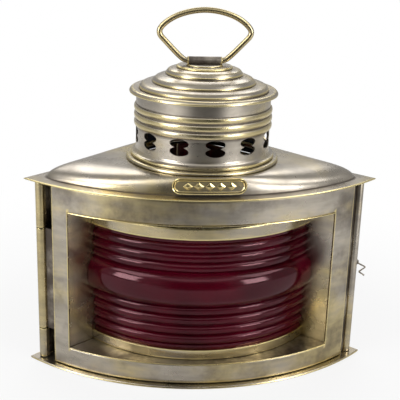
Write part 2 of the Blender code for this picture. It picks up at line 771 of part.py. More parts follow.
def cap_inner_profile():
    """The underside of the cap, one smooth cone of steps under the treads, from the brim to the centre."""
    points = [(CAP_RADIUS - CAP_SHEET, CAP_BOTTOM)]
    shares = list(zip(STEP_RADIUS_SHARES, STEP_FOOT_SHARES))
    lip_height = CAP_BOTTOM + CAP_SHEET / 2
    points.append((CAP_RADIUS - CAP_SHEET, lip_height))
    for radius_share, foot_share in reversed(shares[:-1]):
        radius = CAP_RADIUS * radius_share - CAP_SHEET
        foot = CAP_BOTTOM + CAP_RISE * foot_share
        points.append((radius, max(foot - CAP_SHEET, lip_height)))
        points.append((radius, foot + CAP_SHEET / 2))
    points.append((0.0, CAP_TOP - CAP_SHEET))
    return points


def make_cap():
    profile = cap_outer_profile() + cap_inner_profile()
    turned("chimney_cap", profile, brass(), ROUND_STEPS, (0.0, CHIMNEY_Y, 0.0))


def make_ferrule():
    """The tube that the handle turns in, brazed on a round pad on the cap."""
    low = CAP_TOP + SEAT_GAP
    rim = FERRULE_PAD_RADIUS
    profile = [(0.0, FERRULE_PAD_TOP), (rim, FERRULE_PAD_TOP), (rim, low), (0.0, low)]
    ferrule = turned("handle_ferrule", profile, dark_brass(), SMALL_STEPS, (0.0, CHIMNEY_Y, 0.0))
    half = FERRULE_LENGTH / 2
    axis = (CHIMNEY_Y, HANDLE_AXIS_Z)
    join(ferrule, rod("ferrule_tube", FERRULE_RADIUS, (-half, *axis), (half, *axis), dark_brass()))
    reach = half + CUT_OVERRUN
    bore = HANDLE_WIRE + RUNNING_GAP
    cut(ferrule, rod("ferrule_bore", bore, (-reach, *axis), (reach, *axis), dark_brass()))


def make_handle():
    """The folding handle: one wire whose two ends enter the ferrule."""
    half_outline = [
        (share_x * HANDLE_HALF_WIDTH, share_z * HANDLE_RISE) for share_x, share_z in HANDLE_SHARES
    ]
    route = half_outline + [(-x, z) for x, z in reversed(half_outline[:-1])]
    curve = bpy.data.curves.new("handle", "CURVE")
    curve.dimensions = "3D"
    curve.bevel_depth = HANDLE_WIRE
    curve.bevel_resolution = 2
    curve.use_fill_caps = True
    spline = curve.splines.new("POLY")
    spline.points.add(len(route) - 1)
    for point, (x, z) in zip(spline.points, route):
        point.co = (x, 0.0, z, 1.0)
    drawn = bpy.data.objects.new("handle_wire", curve)
    drawn.location = (0.0, CHIMNEY_Y, HANDLE_AXIS_Z)
    CUTTERS.objects.link(drawn)
    return mesh_of_curve("handle", drawn, pale_brass())


def plaque_outline(margin):
    """An oblong with round ends as width and height, its edge set in by a margin."""
    end = PLATE_HALF_HEIGHT - margin
    straight = PLATE_HALF_WIDTH - PLATE_HALF_HEIGHT
    points = []
    for side in (1, -1):
        for i in range(PLATE_END_STEPS + 1):
            angle = math.pi * (i / PLATE_END_STEPS - 0.5)
            across = straight + end * math.cos(angle)
            points.append((side * across, PLATE_CENTRE_Z + side * end * math.sin(angle)))
    return points


def make_name_plate():
    """The plaque on the hood's front, bent to the hood, with a raised rim round a bare field."""
    back = DOME_RADIUS + PLATE_STANDOFF
    front = back + PLATE_THICKNESS
    reach = math.asin((PLATE_HALF_WIDTH + CUT_OVERRUN) / DOME_RADIUS)
    low = PLATE_CENTRE_Z - PLATE_HALF_HEIGHT - CUT_OVERRUN
    high = PLATE_CENTRE_Z + PLATE_HALF_HEIGHT + CUT_OVERRUN
    front_y = APEX_Y - front - CUT_OVERRUN
    back_y = APEX_Y - back * math.cos(reach) + CUT_OVERRUN
    sheet = swept("name_plate", rectangle(back, front, low, high), pale_brass(), -reach, reach, PLATE_STEPS)
    keep_common(sheet, upright_bar("plate_outline", plaque_outline(0.0), front_y, back_y))
    field = rectangle(front - PLATE_RECESS, front + CUT_OVERRUN, low, high)
    recess = swept("plate_recess", field, dark_brass(), -reach, reach, PLATE_STEPS)
    keep_common(recess, upright_bar("plate_field", plaque_outline(PLATE_RIM), front_y, back_y))
    cut(sheet, recess)


def make_door_panel():
    """The curved front: a shallow pan with turned-in edges and the window cut through its face."""
    inner = DOOR_RADIUS - DOOR_DEPTH
    profile = rectangle(inner, DOOR_RADIUS, DOOR_BOTTOM, DOOR_TOP)
    panel = swept("door_panel", profile, brass(), DOOR_LEFT, DOOR_RIGHT, DOOR_STEPS)
    edge = SHEET / DOOR_RADIUS
    hollow = rectangle(inner - CUT_OVERRUN, DOOR_RADIUS - SHEET, DOOR_BOTTOM + SHEET, DOOR_TOP - SHEET)
    cut(panel, swept("door_hollow", hollow, brass(), DOOR_LEFT + edge, DOOR_RIGHT - edge, DOOR_STEPS))
    behind = DOOR_RADIUS - SHEET - CUT_OVERRUN
    opening = rectangle(behind, DOOR_RADIUS + CUT_OVERRUN, WINDOW_LOW, WINDOW_HIGH)
    cut(panel, swept("door_window", opening, brass(), WINDOW_LEFT, WINDOW_RIGHT, DOOR_STEPS))
    return panel


HINGE_X, HINGE_Y = wall_point(-1, POST_RUN, -POST_INSET)


def knuckle(name, low, high, finish):
    return rod(name, KNUCKLE_RADIUS, (HINGE_X, HINGE_Y, low), (HINGE_X, HINGE_Y, high), finish)


def drill_knuckles(piece, name):
    bore = HINGE_PIN_RADIUS + RUNNING_GAP
    low = KNUCKLE_BOTTOM - CUT_OVERRUN
    high = KNUCKLE_TOP + CUT_OVERRUN
    cut(piece, rod(name, bore, (HINGE_X, HINGE_Y, low), (HINGE_X, HINGE_Y, high), steel(), TINY_STEPS))


def make_body_leaf():
    """The fixed leaf inside the left wall, with the bottom and top knuckles."""
    inner = WALL_INSET + SHEET + SEAT_GAP
    reach = POST_RUN - HINGE_PIN_RADIUS - RUNNING_GAP
    root = reach - LEAF_REACH
    outline = [
        wall_point(-1, reach, -inner),
        wall_point(-1, reach, -inner - LEAF_THICKNESS),
        wall_point(-1, root, -inner - LEAF_THICKNESS),
        wall_point(-1, root, -inner),
    ]
    leaf = plate("hinge_leaf_body", outline, brass(), KNUCKLE_BOTTOM, KNUCKLE_TOP - KNUCKLE_BOTTOM)
    room = KNUCKLE_RADIUS + RUNNING_GAP
    start = (HINGE_X, HINGE_Y, LOWER_SEAM - RUNNING_GAP)
    end = (HINGE_X, HINGE_Y, UPPER_SEAM + RUNNING_GAP)
    cut(leaf, rod("middle_knuckle_room", room, start, end, steel()))
    join(leaf, knuckle("lower_knuckle", KNUCKLE_BOTTOM, LOWER_SEAM - RUNNING_GAP, brass()))
    join(leaf, knuckle("upper_knuckle", UPPER_SEAM + RUNNING_GAP, KNUCKLE_TOP, brass()))
    drill_knuckles(leaf, "body_knuckle_bore")


def edge_strip_outline(side, edge_angle, end_gap):
    """The plan of a strip that runs along the door's turned edge and then out to a corner's round edge.

    It ends at a gap from the middle of that round edge.
    """
    outward = Vector(polar(1.0, edge_angle, 0.0))
    away = Vector((math.cos(edge_angle), math.sin(edge_angle))) * side
    apex = Vector((0.0, APEX_Y))
    corner_middle = Vector(wall_point(side, POST_RUN, -POST_INSET)) - apex
    level = corner_middle.dot(outward) - LEAF_THICKNESS
    span = corner_middle.dot(away) - end_gap
    near = SEAT_GAP
    far = near + LEAF_THICKNESS
    top = level + LEAF_THICKNESS
    foot = DOOR_RADIUS - DOOR_DEPTH
    bends = ((foot, near), (foot, far), (level, far), (level, span), (top, span), (top, near))
    return [tuple(apex + outward * radius + away * offset) for radius, offset in bends]


def make_door_leaf():
    """The moving leaf: the middle knuckle and a strip that turns along the door's left edge."""
    low = LOWER_SEAM + RUNNING_GAP
    high = UPPER_SEAM - RUNNING_GAP
    outline = edge_strip_outline(-1, DOOR_LEFT, HINGE_PIN_RADIUS + RUNNING_GAP)
    leaf = plate("hinge_leaf_door", outline, dark_brass(), low, high - low)
    join(leaf, knuckle("door_knuckle", low, high, brass()))
    drill_knuckles(leaf, "door_knuckle_bore")
    return leaf


def make_door_bead():
    """The door's right edge, a strip that ends in a wired bead with rounded ends."""
    outline = edge_strip_outline(1, DOOR_RIGHT, 0.0)
    bead = plate("door_bead", outline, brass(), DOOR_BOTTOM, DOOR_TOP - DOOR_BOTTOM)
    x, y = wall_point(1, POST_RUN, -POST_INSET)
    crown = POST_RADIUS * math.cos(EDGE_ANGLE)
    shoulder = POST_RADIUS * math.cos(SHOULDER_ANGLE)
    high = DOOR_TOP + POST_DOME / 4
    low = DOOR_BOTTOM - POST_DOME / 4 + SEAT_GAP
    profile = [
        (0.0, high), (crown, high), (shoulder, high - POST_DOME / 2), (POST_RADIUS, high - POST_DOME),
        (POST_RADIUS, low), (0.0, low),
    ]
    join(bead, turned("wired_bead", profile, brass(), SMALL_STEPS, (x, y, 0.0)))
    return bead


def make_hinge_pin():
    rod(
        "hinge_pin", HINGE_PIN_RADIUS, (HINGE_X, HINGE_Y, KNUCKLE_BOTTOM), (HINGE_X, HINGE_Y, KNUCKLE_TOP),
        steel(), TINY_STEPS,
    )


def half_lens_profile(prisms):
    """Radius and distance from the middle: half of the belt, then the rolled prisms, then the tongue."""
    belt_points = 6
    prism_points = 4
    valley = LENS_RADIUS - PRISM_DEPTH
    points = []
    for i in range(belt_points):
        angle = math.pi / 2 * i / (belt_points - 1)
        radius = valley + (LENS_BULGE + PRISM_DEPTH) * math.cos(angle)
        points.append((radius, LENS_BELT_HALF * math.sin(angle)))
    for prism in range(prisms):
        start = LENS_BELT_HALF + prism * PRISM_PITCH
        for i in range(1, prism_points + 1):
            angle = math.pi * i / prism_points
            points.append((valley + PRISM_DEPTH * math.sin(angle), start + PRISM_PITCH * i / prism_points))
    rim = LENS_BELT_HALF + PRISM_PITCH * prisms
    points.append((TONGUE_RADIUS, rim + LENS_RIM / 3))
    points.append((TONGUE_RADIUS, rim + LENS_RIM + LENS_TONGUE))
    return points


def lens_profile():
    """Radius and height down the lens's outer side: a bulging belt with rolled prisms above and below it.

    Each end has a thinner tongue that stands in its channel.
    """
    above = half_lens_profile(PRISMS_ABOVE)
    below = half_lens_profile(PRISMS_BELOW)
    outer = [(r, LENS_MIDDLE + h) for r, h in reversed(above)]
    outer += [(r, LENS_MIDDLE - h) for r, h in below[1:]]
    return outer + [(LENS_BORE, LENS_LOW - LENS_TONGUE), (LENS_BORE, LENS_HIGH + LENS_TONGUE)]


def make_lens():
    return swept(
        "lens", lens_profile(), ruby_glass(), -LENS_HALF, LENS_HALF, LENS_STEPS, LENS_CENTRE_Y
    )


def band_profile(mouth, back):
    """A channel that holds the lens's tongue, from the height of its mouth to the height of its back."""
    outward = math.copysign(1.0, back - mouth)
    floor = mouth + outward * (LENS_TONGUE + SEAT_GAP)
    return [
        (BAND_OUTER, mouth), (BAND_OUTER, back), (BAND_INNER, back), (BAND_INNER, mouth),
        (LENS_BORE - SEAT_GAP, mouth), (LENS_BORE - SEAT_GAP, floor),
        (TONGUE_RADIUS + SEAT_GAP, floor), (TONGUE_RADIUS + SEAT_GAP, mouth),
    ]


def make_bands():
    below = band_profile(LENS_LOW, LENS_LOW - LOWER_BAND_HEIGHT)
    above = band_profile(LENS_HIGH, LENS_HIGH + UPPER_BAND_HEIGHT)
    return [
        swept(name, profile, pale_brass(), -LENS_HALF, LENS_HALF, LENS_STEPS, LENS_CENTRE_Y)
        for name, profile in (("lens_band_lower", below), ("lens_band_upper", above))
    ]


SILL_TOP = WINDOW_LOW - SEAT_GAP
HEAD_BOTTOM = WINDOW_HIGH + SEAT_GAP


def reach_to_circle(radius, centre_y, direction):
    """How far a ray from a centre on the middle plane runs until it meets the circle about the apex."""
    offset = APEX_Y - centre_y
    along = offset * math.cos(direction)
    return -along + math.sqrt(along * along - offset * offset + radius * radius)


def make_reveal(side, name):
    """An upright cheek from the window's edge back to the lens's end."""
    direction = side * LENS_HALF
    gap = SEAT_GAP
    front = reach_to_circle(REVEAL_RADIUS, LENS_CENTRE_Y, LENS_HALF)
    along = Vector(polar(1.0, direction, 0.0))
    across = Vector((side * math.cos(direction), side * math.sin(direction)))
    centre = Vector((0.0, LENS_CENTRE_Y))
    outline = [
        tuple(centre + along * radius + across * offset)
        for radius, offset in ((REVEAL_BACK, gap), (front, gap), (front - SHEET, gap + SHEET),
                               (REVEAL_BACK, gap + SHEET))
    ]
    low = SILL_TOP - SHEET
    return plate(name, outline, pale_brass(), low, HEAD_BOTTOM + SHEET - low)


def make_shelf(name, bottom):
    """A flat crescent from the door's face to the back of the lens: floor or roof of the window box."""
    steps = SHELF_STEPS
    outer_radius = DOOR_RADIUS - SHEET - SEAT_GAP
    front = reach_to_circle(outer_radius, LENS_CENTRE_Y, LENS_HALF)
    tip = Vector(polar(front, LENS_HALF, LENS_CENTRE_Y)) - Vector((0.0, APEX_Y))
    half = math.atan2(tip.x, -tip.y) - SEAT_GAP / outer_radius
    outer = [polar(outer_radius, -half + 2 * half * i / steps) for i in range(steps + 1)]
    inner = [
        polar(REVEAL_BACK, LENS_HALF - 2 * LENS_HALF * i / steps, LENS_CENTRE_Y) for i in range(steps + 1)
    ]
    return plate(name, outer + inner, pale_brass(), bottom, SHEET)


HOOK_PLANE = POST_RADIUS - POST_INSET + 2 * SEAT_GAP
LATCH_SHOULDER = HOOK_PLANE + HOOK_EYE_THICKNESS + RUNNING_GAP


def headed_pin(name, run, height, root_offset, radius):
    """A pin square to the right wall, from an offset out to its head in front of the hook's plane."""
    root = wall_point(1, run, root_offset)
    neck = wall_point(1, run, LATCH_SHOULDER)
    overlap = wall_point(1, run, LATCH_SHOULDER + LATCH_PIN_HEAD_DEPTH / 2)
    head = wall_point(1, run, LATCH_SHOULDER + LATCH_PIN_HEAD_DEPTH)
    pin = rod(name, radius, (*root, height), (*overlap, height), steel(), TINY_STEPS)
    join(pin, rod(name + "_head", LATCH_PIN_HEAD, (*neck, height), (*head, height), steel(), TINY_STEPS))
    return pin


def make_latch_pivot():
    """The rivet in the bead that the hook turns on."""
    root = POST_RADIUS - POST_INSET + SEAT_GAP
    return headed_pin("latch_pivot", POST_RUN, LATCH_Z, root, LATCH_PIN_RADIUS)


def make_latch_peg():
    """The headed peg on the right wall that the hook drops over."""
    headed_pin("latch_peg", POST_RUN - PEG_BEHIND, LATCH_Z - PEG_DROP, -WALL_INSET + SEAT_GAP, PEG_RADIUS)


def make_latch_hook():
    """A bent wire that hangs from its eye and swings in a plane beside the right wall."""
    forward = wall_forward(1)
    outward = wall_normal(1)
    corner = Vector((*wall_point(1, POST_RUN, HOOK_PLANE), LATCH_Z))
    middle = corner + outward * (HOOK_EYE_THICKNESS / 2)
    curve = bpy.data.curves.new("latch_hook", "CURVE")
    curve.dimensions = "3D"
    curve.bevel_depth = HOOK_WIRE
    curve.bevel_resolution = 2
    curve.use_fill_caps = True
    spline = curve.splines.new("POLY")
    spline.points.add(len(HOOK_SHARES) - 1)
    for point, (share_ahead, share_up) in zip(spline.points, HOOK_SHARES):
        bend = forward * (share_ahead * HOOK_LENGTH) + Vector((0.0, 0.0, share_up * HOOK_LENGTH))
        point.co = (*bend, 1.0)
    drawn = bpy.data.objects.new("hook_wire", curve)
    drawn.location = middle
    CUTTERS.objects.link(drawn)
    hook = mesh_of_curve("latch_hook", drawn, pale_brass())
    end = corner + outward * HOOK_EYE_THICKNESS
    join(hook, rod("hook_eye_rim", HOOK_EYE_RADIUS, corner, end, steel(), TINY_STEPS))
    start = corner - outward * CUT_OVERRUN
    end = end + outward * CUT_OVERRUN
    cut(hook, rod("hook_eye", LATCH_PIN_RADIUS + RUNNING_GAP, start, end, steel(), TINY_STEPS))
    return hook


def make_font():
    """The oil font: a round tin with a domed shoulder, a filler boss and a well that the wick hangs in."""
    neck_low = FONT_BOTTOM + FONT_HEIGHT * FONT_RIM_SHARES[0][1]
    floor = FONT_BOTTOM + FONT_FLOOR
    profile = [(0.0, floor), (FONT_WELL, floor), (FONT_WELL, FONT_TOP)]
    profile += [(FONT_NECK, FONT_TOP), (FONT_NECK, neck_low)]
    profile += [
        (FONT_RADIUS * radius, FONT_BOTTOM + FONT_HEIGHT * height) for radius, height in FONT_RIM_SHARES
    ]
    profile.append((0.0, FONT_BOTTOM))
    font = turned("oil_font", profile, brass(), ROUND_STEPS, (0.0, CHIMNEY_Y, 0.0))
    boss_low = FONT_BOTTOM + FONT_HEIGHT / 2
    start = (FILLER_X, CHIMNEY_Y, boss_low)
    end = (FILLER_X, CHIMNEY_Y, FILLER_TOP)
    join(font, rod("filler_boss", FILLER_RADIUS, start, end, brass(), SMALL_STEPS))
    return font


def fluted_disc(name, radius, flutes, flute_share, finish, bottom, thickness, centre):
    """A round grip with a scalloped edge, lying flat on its axis along Z."""
    steps = flutes * 4
    outline = []
    for i in range(steps):
        angle = math.tau * i / steps
        wave = (1 + flute_share) / 2 + (1 - flute_share) / 2 * math.cos(flutes * angle)
        reach = radius * wave
        outline.append((centre[0] + reach * math.cos(angle), centre[1] + reach * math.sin(angle)))
    return plate(name, outline, finish, bottom, thickness)


def make_filler_cap():
    bottom = FILLER_TOP + SEAT_GAP
    return fluted_disc(
        "filler_cap", FILLER_CAP_RADIUS, FILLER_FLUTES, KNOB_FLUTE_SHARE, pale_brass(), bottom,
        FILLER_CAP_HEIGHT, (FILLER_X, CHIMNEY_Y),
    )


def make_font_ring():
    """The low ring on the base that keeps the font under the chimney."""
    low = BASE_THICKNESS + SEAT_GAP
    bore = FONT_RADIUS + SEAT_GAP
    rim = bore + SHEET
    top = low + FONT_RING_HEIGHT
    profile = [(bore, top), (rim, top), (rim, low), (bore, low)]
    turned("font_ring", profile, brass(), ROUND_STEPS, (0.0, CHIMNEY_Y, 0.0), closed=True)


SHAFT_Y = CHIMNEY_Y - WICK_THICKNESS / 2 - RUNNING_GAP - WHEEL_RADIUS


def make_burner_collar():
    """The ring screwed on the font's neck, with a cross hole for the wick shaft."""
    low = BURNER_BOTTOM
    top = BURNER_TOP
    step = low + BURNER_FLANGE_HEIGHT
    profile = [
        (FONT_WELL, top), (BURNER_RADIUS, top), (BURNER_RADIUS, step), (BURNER_FLANGE, step),
        (BURNER_FLANGE, low), (FONT_WELL, low),
    ]
    collar = turned("burner_collar", profile, brass(), SMALL_STEPS, (0.0, CHIMNEY_Y, 0.0), closed=True)
    reach = BURNER_FLANGE + CUT_OVERRUN
    hole = rod(
        "shaft_hole", SHAFT_RADIUS + RUNNING_GAP, (0.0, SHAFT_Y, SHAFT_Z), (reach, SHAFT_Y, SHAFT_Z),
        steel(), TINY_STEPS,
    )
    cut(collar, hole)
    return collar


def make_burner_cone():
    """The domed deflector over the burner, slotted for the flame."""
    low = BURNER_TOP + SEAT_GAP
    steps = 5
    outer = []
    inner = []
    for i in range(steps + 1):
        angle = math.pi / 2 * i / steps
        spread = math.sin(angle)
        outer.append((CONE_TOP_RADIUS + (BURNER_RADIUS - CONE_TOP_RADIUS) * spread,
                      low + CONE_HEIGHT * math.cos(angle)))
        inner.append((CONE_TOP_RADIUS - CONE_SHEET + (BURNER_RADIUS - CONE_TOP_RADIUS) * spread,
                      low + (CONE_HEIGHT - CONE_SHEET) * math.cos(angle)))
    profile = [(0.0, low + CONE_HEIGHT)] + outer + inner[::-1] + [(0.0, low + CONE_HEIGHT - CONE_SHEET)]
    cone = turned("burner_cone", profile, pale_brass(), SMALL_STEPS, (0.0, CHIMNEY_Y, 0.0))
    half_width = CONE_SLOT_WIDTH / 2
    half_depth = CONE_SLOT_DEPTH / 2
    top = low + CONE_HEIGHT
    slot = block(
        "flame_slot", (-half_width, CHIMNEY_Y - half_depth, top - CONE_HEIGHT * CONE_SLOT_SHARE),
        (half_width, CHIMNEY_Y + half_depth, top + CUT_OVERRUN), steel(),
    )
    cut(cone, slot)
    return cone


def make_wick_tube():
    """The flat tube round the wick, with two windows where the toothed wheels reach it."""
    half_slot = WICK_WIDTH / 2 + SEAT_GAP
    slot_depth = WICK_THICKNESS / 2 + SEAT_GAP
    half_width = half_slot + TUBE_WALL
    half_depth = slot_depth + TUBE_WALL
    tube = block(
        "wick_tube", (-half_width, CHIMNEY_Y - half_depth, TUBE_BOTTOM),
        (half_width, CHIMNEY_Y + half_depth, TUBE_TOP), brass(),
    )
    bore = block(
        "wick_tube_bore", (-half_slot, CHIMNEY_Y - slot_depth, TUBE_BOTTOM - CUT_OVERRUN),
        (half_slot, CHIMNEY_Y + slot_depth, TUBE_TOP + CUT_OVERRUN), steel(),
    )
    cut(tube, bore)
    window = WHEEL_RADIUS + RUNNING_GAP
    for side in (-1, 1):
        middle = side * WHEEL_SPACING / 2
        half = WHEEL_THICKNESS / 2 + RUNNING_GAP
        tool = block(
            f"wheel_window_{side}", (middle - half, CHIMNEY_Y - half_depth - CUT_OVERRUN, SHAFT_Z - window),
            (middle + half, CHIMNEY_Y, SHAFT_Z + window), steel(),
        )
        cut(tube, tool)
    return tube


def make_wick():
    half_width = WICK_WIDTH / 2
    half_depth = WICK_THICKNESS / 2
    return block(
        "wick", (-half_width, CHIMNEY_Y - half_depth, WICK_BOTTOM),
        (half_width, CHIMNEY_Y + half_depth, WICK_TOP), cotton(),
    )


def toothed_wheel(name, middle):
    """A small star wheel on the wick shaft."""
    steps = WHEEL_TEETH * 2
    shape = bmesh.new()
    ring = []
    for i in range(steps):
        angle = math.tau * i / steps
        radius = WHEEL_RADIUS if i % 2 == 0 else WHEEL_RADIUS * WHEEL_ROOT_SHARE
        ring.append(shape.verts.new((0.0, radius * math.cos(angle), radius * math.sin(angle))))
    face = shape.faces.new(ring)
    grown = bmesh.ops.extrude_face_region(shape, geom=[face])
    moved = [item for item in grown["geom"] if isinstance(item, bmesh.types.BMVert)]
    bmesh.ops.translate(shape, verts=moved, vec=(WHEEL_THICKNESS, 0.0, 0.0))
    location = (middle - WHEEL_THICKNESS / 2, SHAFT_Y, SHAFT_Z)
    return place(name, close_mesh(name, shape, smooth=False), steel(), location)


KNOB_START = SHAFT_LENGTH - KNOB_THICKNESS


def make_wick_shaft():
    """The shaft across the burner, with two toothed wheels that raise and lower the wick."""
    start = -WHEEL_SPACING / 2 - WHEEL_THICKNESS
    shaft = rod(
        "wick_shaft", SHAFT_RADIUS, (start, SHAFT_Y, SHAFT_Z), (SHAFT_LENGTH, SHAFT_Y, SHAFT_Z), steel(),
        TINY_STEPS,
    )
    for side in (-1, 1):
        join(shaft, toothed_wheel(f"wick_wheel_{side}", side * WHEEL_SPACING / 2))
    return shaft


def make_wick_knob():
    """The fluted knob on the end of the wick shaft."""
    knob = fluted_disc(
        "wick_knob", KNOB_RADIUS, KNOB_FLUTES, KNOB_FLUTE_SHARE, pale_brass(), -KNOB_THICKNESS / 2,
        KNOB_THICKNESS, (0.0, 0.0),
    )
    middle = Matrix.Translation((KNOB_START + KNOB_THICKNESS / 2, SHAFT_Y, SHAFT_Z))
    knob.matrix_world = middle @ Matrix.Rotation(math.pi / 2, 4, "Y")
    bore = SHAFT_RADIUS + SEAT_GAP
    start = (KNOB_START - CUT_OVERRUN, SHAFT_Y, SHAFT_Z)
    end = (SHAFT_LENGTH + CUT_OVERRUN, SHAFT_Y, SHAFT_Z)
    cut(knob, rod("knob_bore", bore, start, end, steel(), TINY_STEPS))
    return knob


def make_body():
    make_base()
    make_side_wall(-1, "side_wall_left", KNUCKLE_RADIUS)
    make_side_wall(1, "side_wall_right", POST_RADIUS)
    make_back_strip()
    make_door_stop(-1, "door_stop_left", LEAF_THICKNESS + SEAT_GAP)
    make_door_stop(1, "door_stop_right", 0.0)
    make_hood()
    make_name_plate()
    make_collar()
    make_neck()
    make_cap()
    make_ferrule()
    make_body_leaf()
    make_hinge_pin()
    make_latch_peg()
    make_font_ring()


def make_door():
    pieces = [make_door_panel(), make_door_leaf(), make_door_bead(), make_lens()]
    pieces += make_bands()
    pieces += [make_reveal(-1, "reveal_left"), make_reveal(1, "reveal_right")]
    pieces += [make_shelf("window_sill", SILL_TOP - SHEET), make_shelf("window_head", HEAD_BOTTOM)]
    pieces.append(make_latch_pivot())
    door = pivot("door_axis", (HINGE_X, HINGE_Y, LENS_MIDDLE), pieces)
    hook = make_latch_hook()
    latch_axis = pivot("latch_axis", hook.location, [hook])
    latch_axis.parent = door
    latch_axis.matrix_parent_inverse = door.matrix_world.inverted()


def make_lamp_works():
    pieces = [make_font(), make_burner_collar(), make_burner_cone(), make_wick_tube()]
    font = pivot("font_axis", (0.0, CHIMNEY_Y, FONT_BOTTOM), pieces)
    moving = [
        pivot("filler_axis", (FILLER_X, CHIMNEY_Y, FILLER_TOP), [make_filler_cap()]),
        pivot("wick_axis", (0.0, CHIMNEY_Y, WICK_BOTTOM), [make_wick()]),
        pivot("shaft_axis", (0.0, SHAFT_Y, SHAFT_Z), [make_wick_shaft(), make_wick_knob()]),
    ]
    for axis in moving:
        axis.parent = font
        axis.matrix_parent_inverse = font.matrix_world.inverted()


def main():
    start_collections()
    make_body()
    make_door()
    make_lamp_works()
    pivot("handle_axis", (0.0, CHIMNEY_Y, HANDLE_AXIS_Z), [make_handle()])
    bpy.context.view_layer.update()


main()
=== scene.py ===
"""Navigation lamp: the visible pieces, finishes, light and camera of a brass side light with a red lens."""

import math
from functools import partial

import bmesh
import bpy
from bpy.props import FloatProperty, FloatVectorProperty, IntProperty, PointerProperty
from mathutils import Matrix, Vector


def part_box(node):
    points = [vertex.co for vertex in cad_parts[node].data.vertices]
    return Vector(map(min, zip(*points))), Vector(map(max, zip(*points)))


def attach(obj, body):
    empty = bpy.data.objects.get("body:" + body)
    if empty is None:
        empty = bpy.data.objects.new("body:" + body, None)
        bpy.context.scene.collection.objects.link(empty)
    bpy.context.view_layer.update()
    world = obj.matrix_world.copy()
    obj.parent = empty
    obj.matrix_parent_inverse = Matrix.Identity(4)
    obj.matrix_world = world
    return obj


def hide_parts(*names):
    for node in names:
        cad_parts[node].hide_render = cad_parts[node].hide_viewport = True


bl_info = {
    "name": "Navigation Lamp",
    "version": (1, 0, 0),
    "blender": (4, 5, 0),
    "location": "View3D > Sidebar > Lamp",
    "description": "Builds the visible pieces of a quadrant side light round its fixed frame",
    "category": "Object",
}

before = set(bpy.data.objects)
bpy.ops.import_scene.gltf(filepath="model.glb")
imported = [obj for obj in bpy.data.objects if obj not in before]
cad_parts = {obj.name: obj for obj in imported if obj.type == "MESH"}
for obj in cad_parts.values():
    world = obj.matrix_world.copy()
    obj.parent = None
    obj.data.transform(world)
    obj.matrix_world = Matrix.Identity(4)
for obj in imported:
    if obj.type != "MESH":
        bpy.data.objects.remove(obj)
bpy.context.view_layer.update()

# Plan of the lamp, as the frame has it
BRIM_REAR = 0.0140
SECTOR_HALF = math.radians(45.0)
APEX_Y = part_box("hood")[1].y + BRIM_REAR
BRIM_RADIUS = APEX_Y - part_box("hood")[0].y
CHIMNEY_Y = (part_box("chimney_cap")[0].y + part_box("chimney_cap")[1].y) / 2
LENS_CENTRE_Y = APEX_Y - 0.0610
POST_RUN = 0.1680
POST_INSET = 0.0069
WALL_INSET = 0.0050
WINDOW_LEFT = math.radians(-33.8)
WINDOW_RIGHT = math.radians(32.8)
WINDOW_LOW = 0.0167
WINDOW_HIGH = 0.1198
DOOR_LEFT = math.radians(-38.5)
DOOR_RIGHT = math.radians(39.6)

# Construction
WELD = 0.00001
PROUD = 0.00005
SMOOTH_ANGLE = math.radians(32.0)
ROUND_STEPS = 112
SMALL_STEPS = 40
LEAST_CORNER = math.radians(14.0)
FULL_WEAR_CORNER = math.radians(55.0)
GROOVE_WEAR = -0.42


def length_property(name, description, default):
    return FloatProperty(name=name, description=description, default=default, unit="LENGTH")


def angle_property(name, description, degrees):
    return FloatProperty(name=name, description=description, default=math.radians(degrees), subtype="ANGLE")


def colour_property(name, description, default):
    return FloatVectorProperty(name=name, description=description, default=default, subtype="COLOR")


class PlanSizes(bpy.types.PropertyGroup):
    """Sizes of the hood, the door and the posts."""

    sheet: length_property("Sheet", "Thickness of the brass sheet", 0.0012)
    dome_radius: length_property("Dome radius", "Radius of the hood's foot about the apex", 0.1680)
    dome_inset: length_property("Dome inset", "How far the hood's foot is set in at the sides", 0.0060)
    dome_rear: length_property("Dome rear", "Distance of the hood's rear foot from the apex", 0.0220)
    dome_height: length_property("Dome height", "Rise of the hood above its brim", 0.0123)
    dome_power: FloatProperty(name="Dome fullness", description="Higher is boxier", default=2.1)
    ring_radius: length_property("Ring radius", "Radius where the dome meets the collar", 0.0540)
    hood_hole: length_property("Hood hole", "Radius of the hole under the chimney", 0.0460)
    corner_softness: IntProperty(
        name="Corner softness", description="Smoothing passes on the hood's corners", default=26
    )
    plaque_half_width: length_property("Plaque half width", "Half the plaque's width", 0.0250)
    plaque_half_height: length_property("Plaque half height", "Half the plaque's height", 0.0056)
    studs: IntProperty(name="Studs", description="Number of lozenges on the plaque", default=5)
    door_radius: length_property("Door radius", "Radius of the door's face about the apex", 0.1708)
    door_depth: length_property("Door depth", "Depth of the door's turned edges", 0.0078)
    knuckle_radius: length_property("Knuckle radius", "Radius of the hinge knuckles", 0.00365)
    bead_radius: length_property("Bead radius", "Radius of the door's wired edge", 0.0032)


class ChimneySizes(bpy.types.PropertyGroup):
    """Sizes of the chimney, its cap and the handle."""

    neck_radius: length_property("Neck radius", "Outer radius of the chimney's neck", 0.0473)
    neck_bore: length_property("Neck bore", "Inner radius of the chimney's neck", 0.0460)
    bead_rise: length_property("Bead rise", "How far the rolled beads stand out", 0.0014)
    vent_count: IntProperty(name="Vents", description="Number of vents round the neck", default=12, min=3)
    vent_phase: angle_property("Vent turn", "Turn of the ring of vents", 5.0)
    vent_width: length_property("Vent width", "Width of each oval", 0.0136)
    vent_lobe: length_property("Vent oval height", "Height of each oval", 0.0062)
    vent_spacing: length_property("Oval spacing", "Distance between the two ovals' middles", 0.00546)
    handle_wire: length_property("Handle wire", "Radius of the handle's wire", 0.0020)


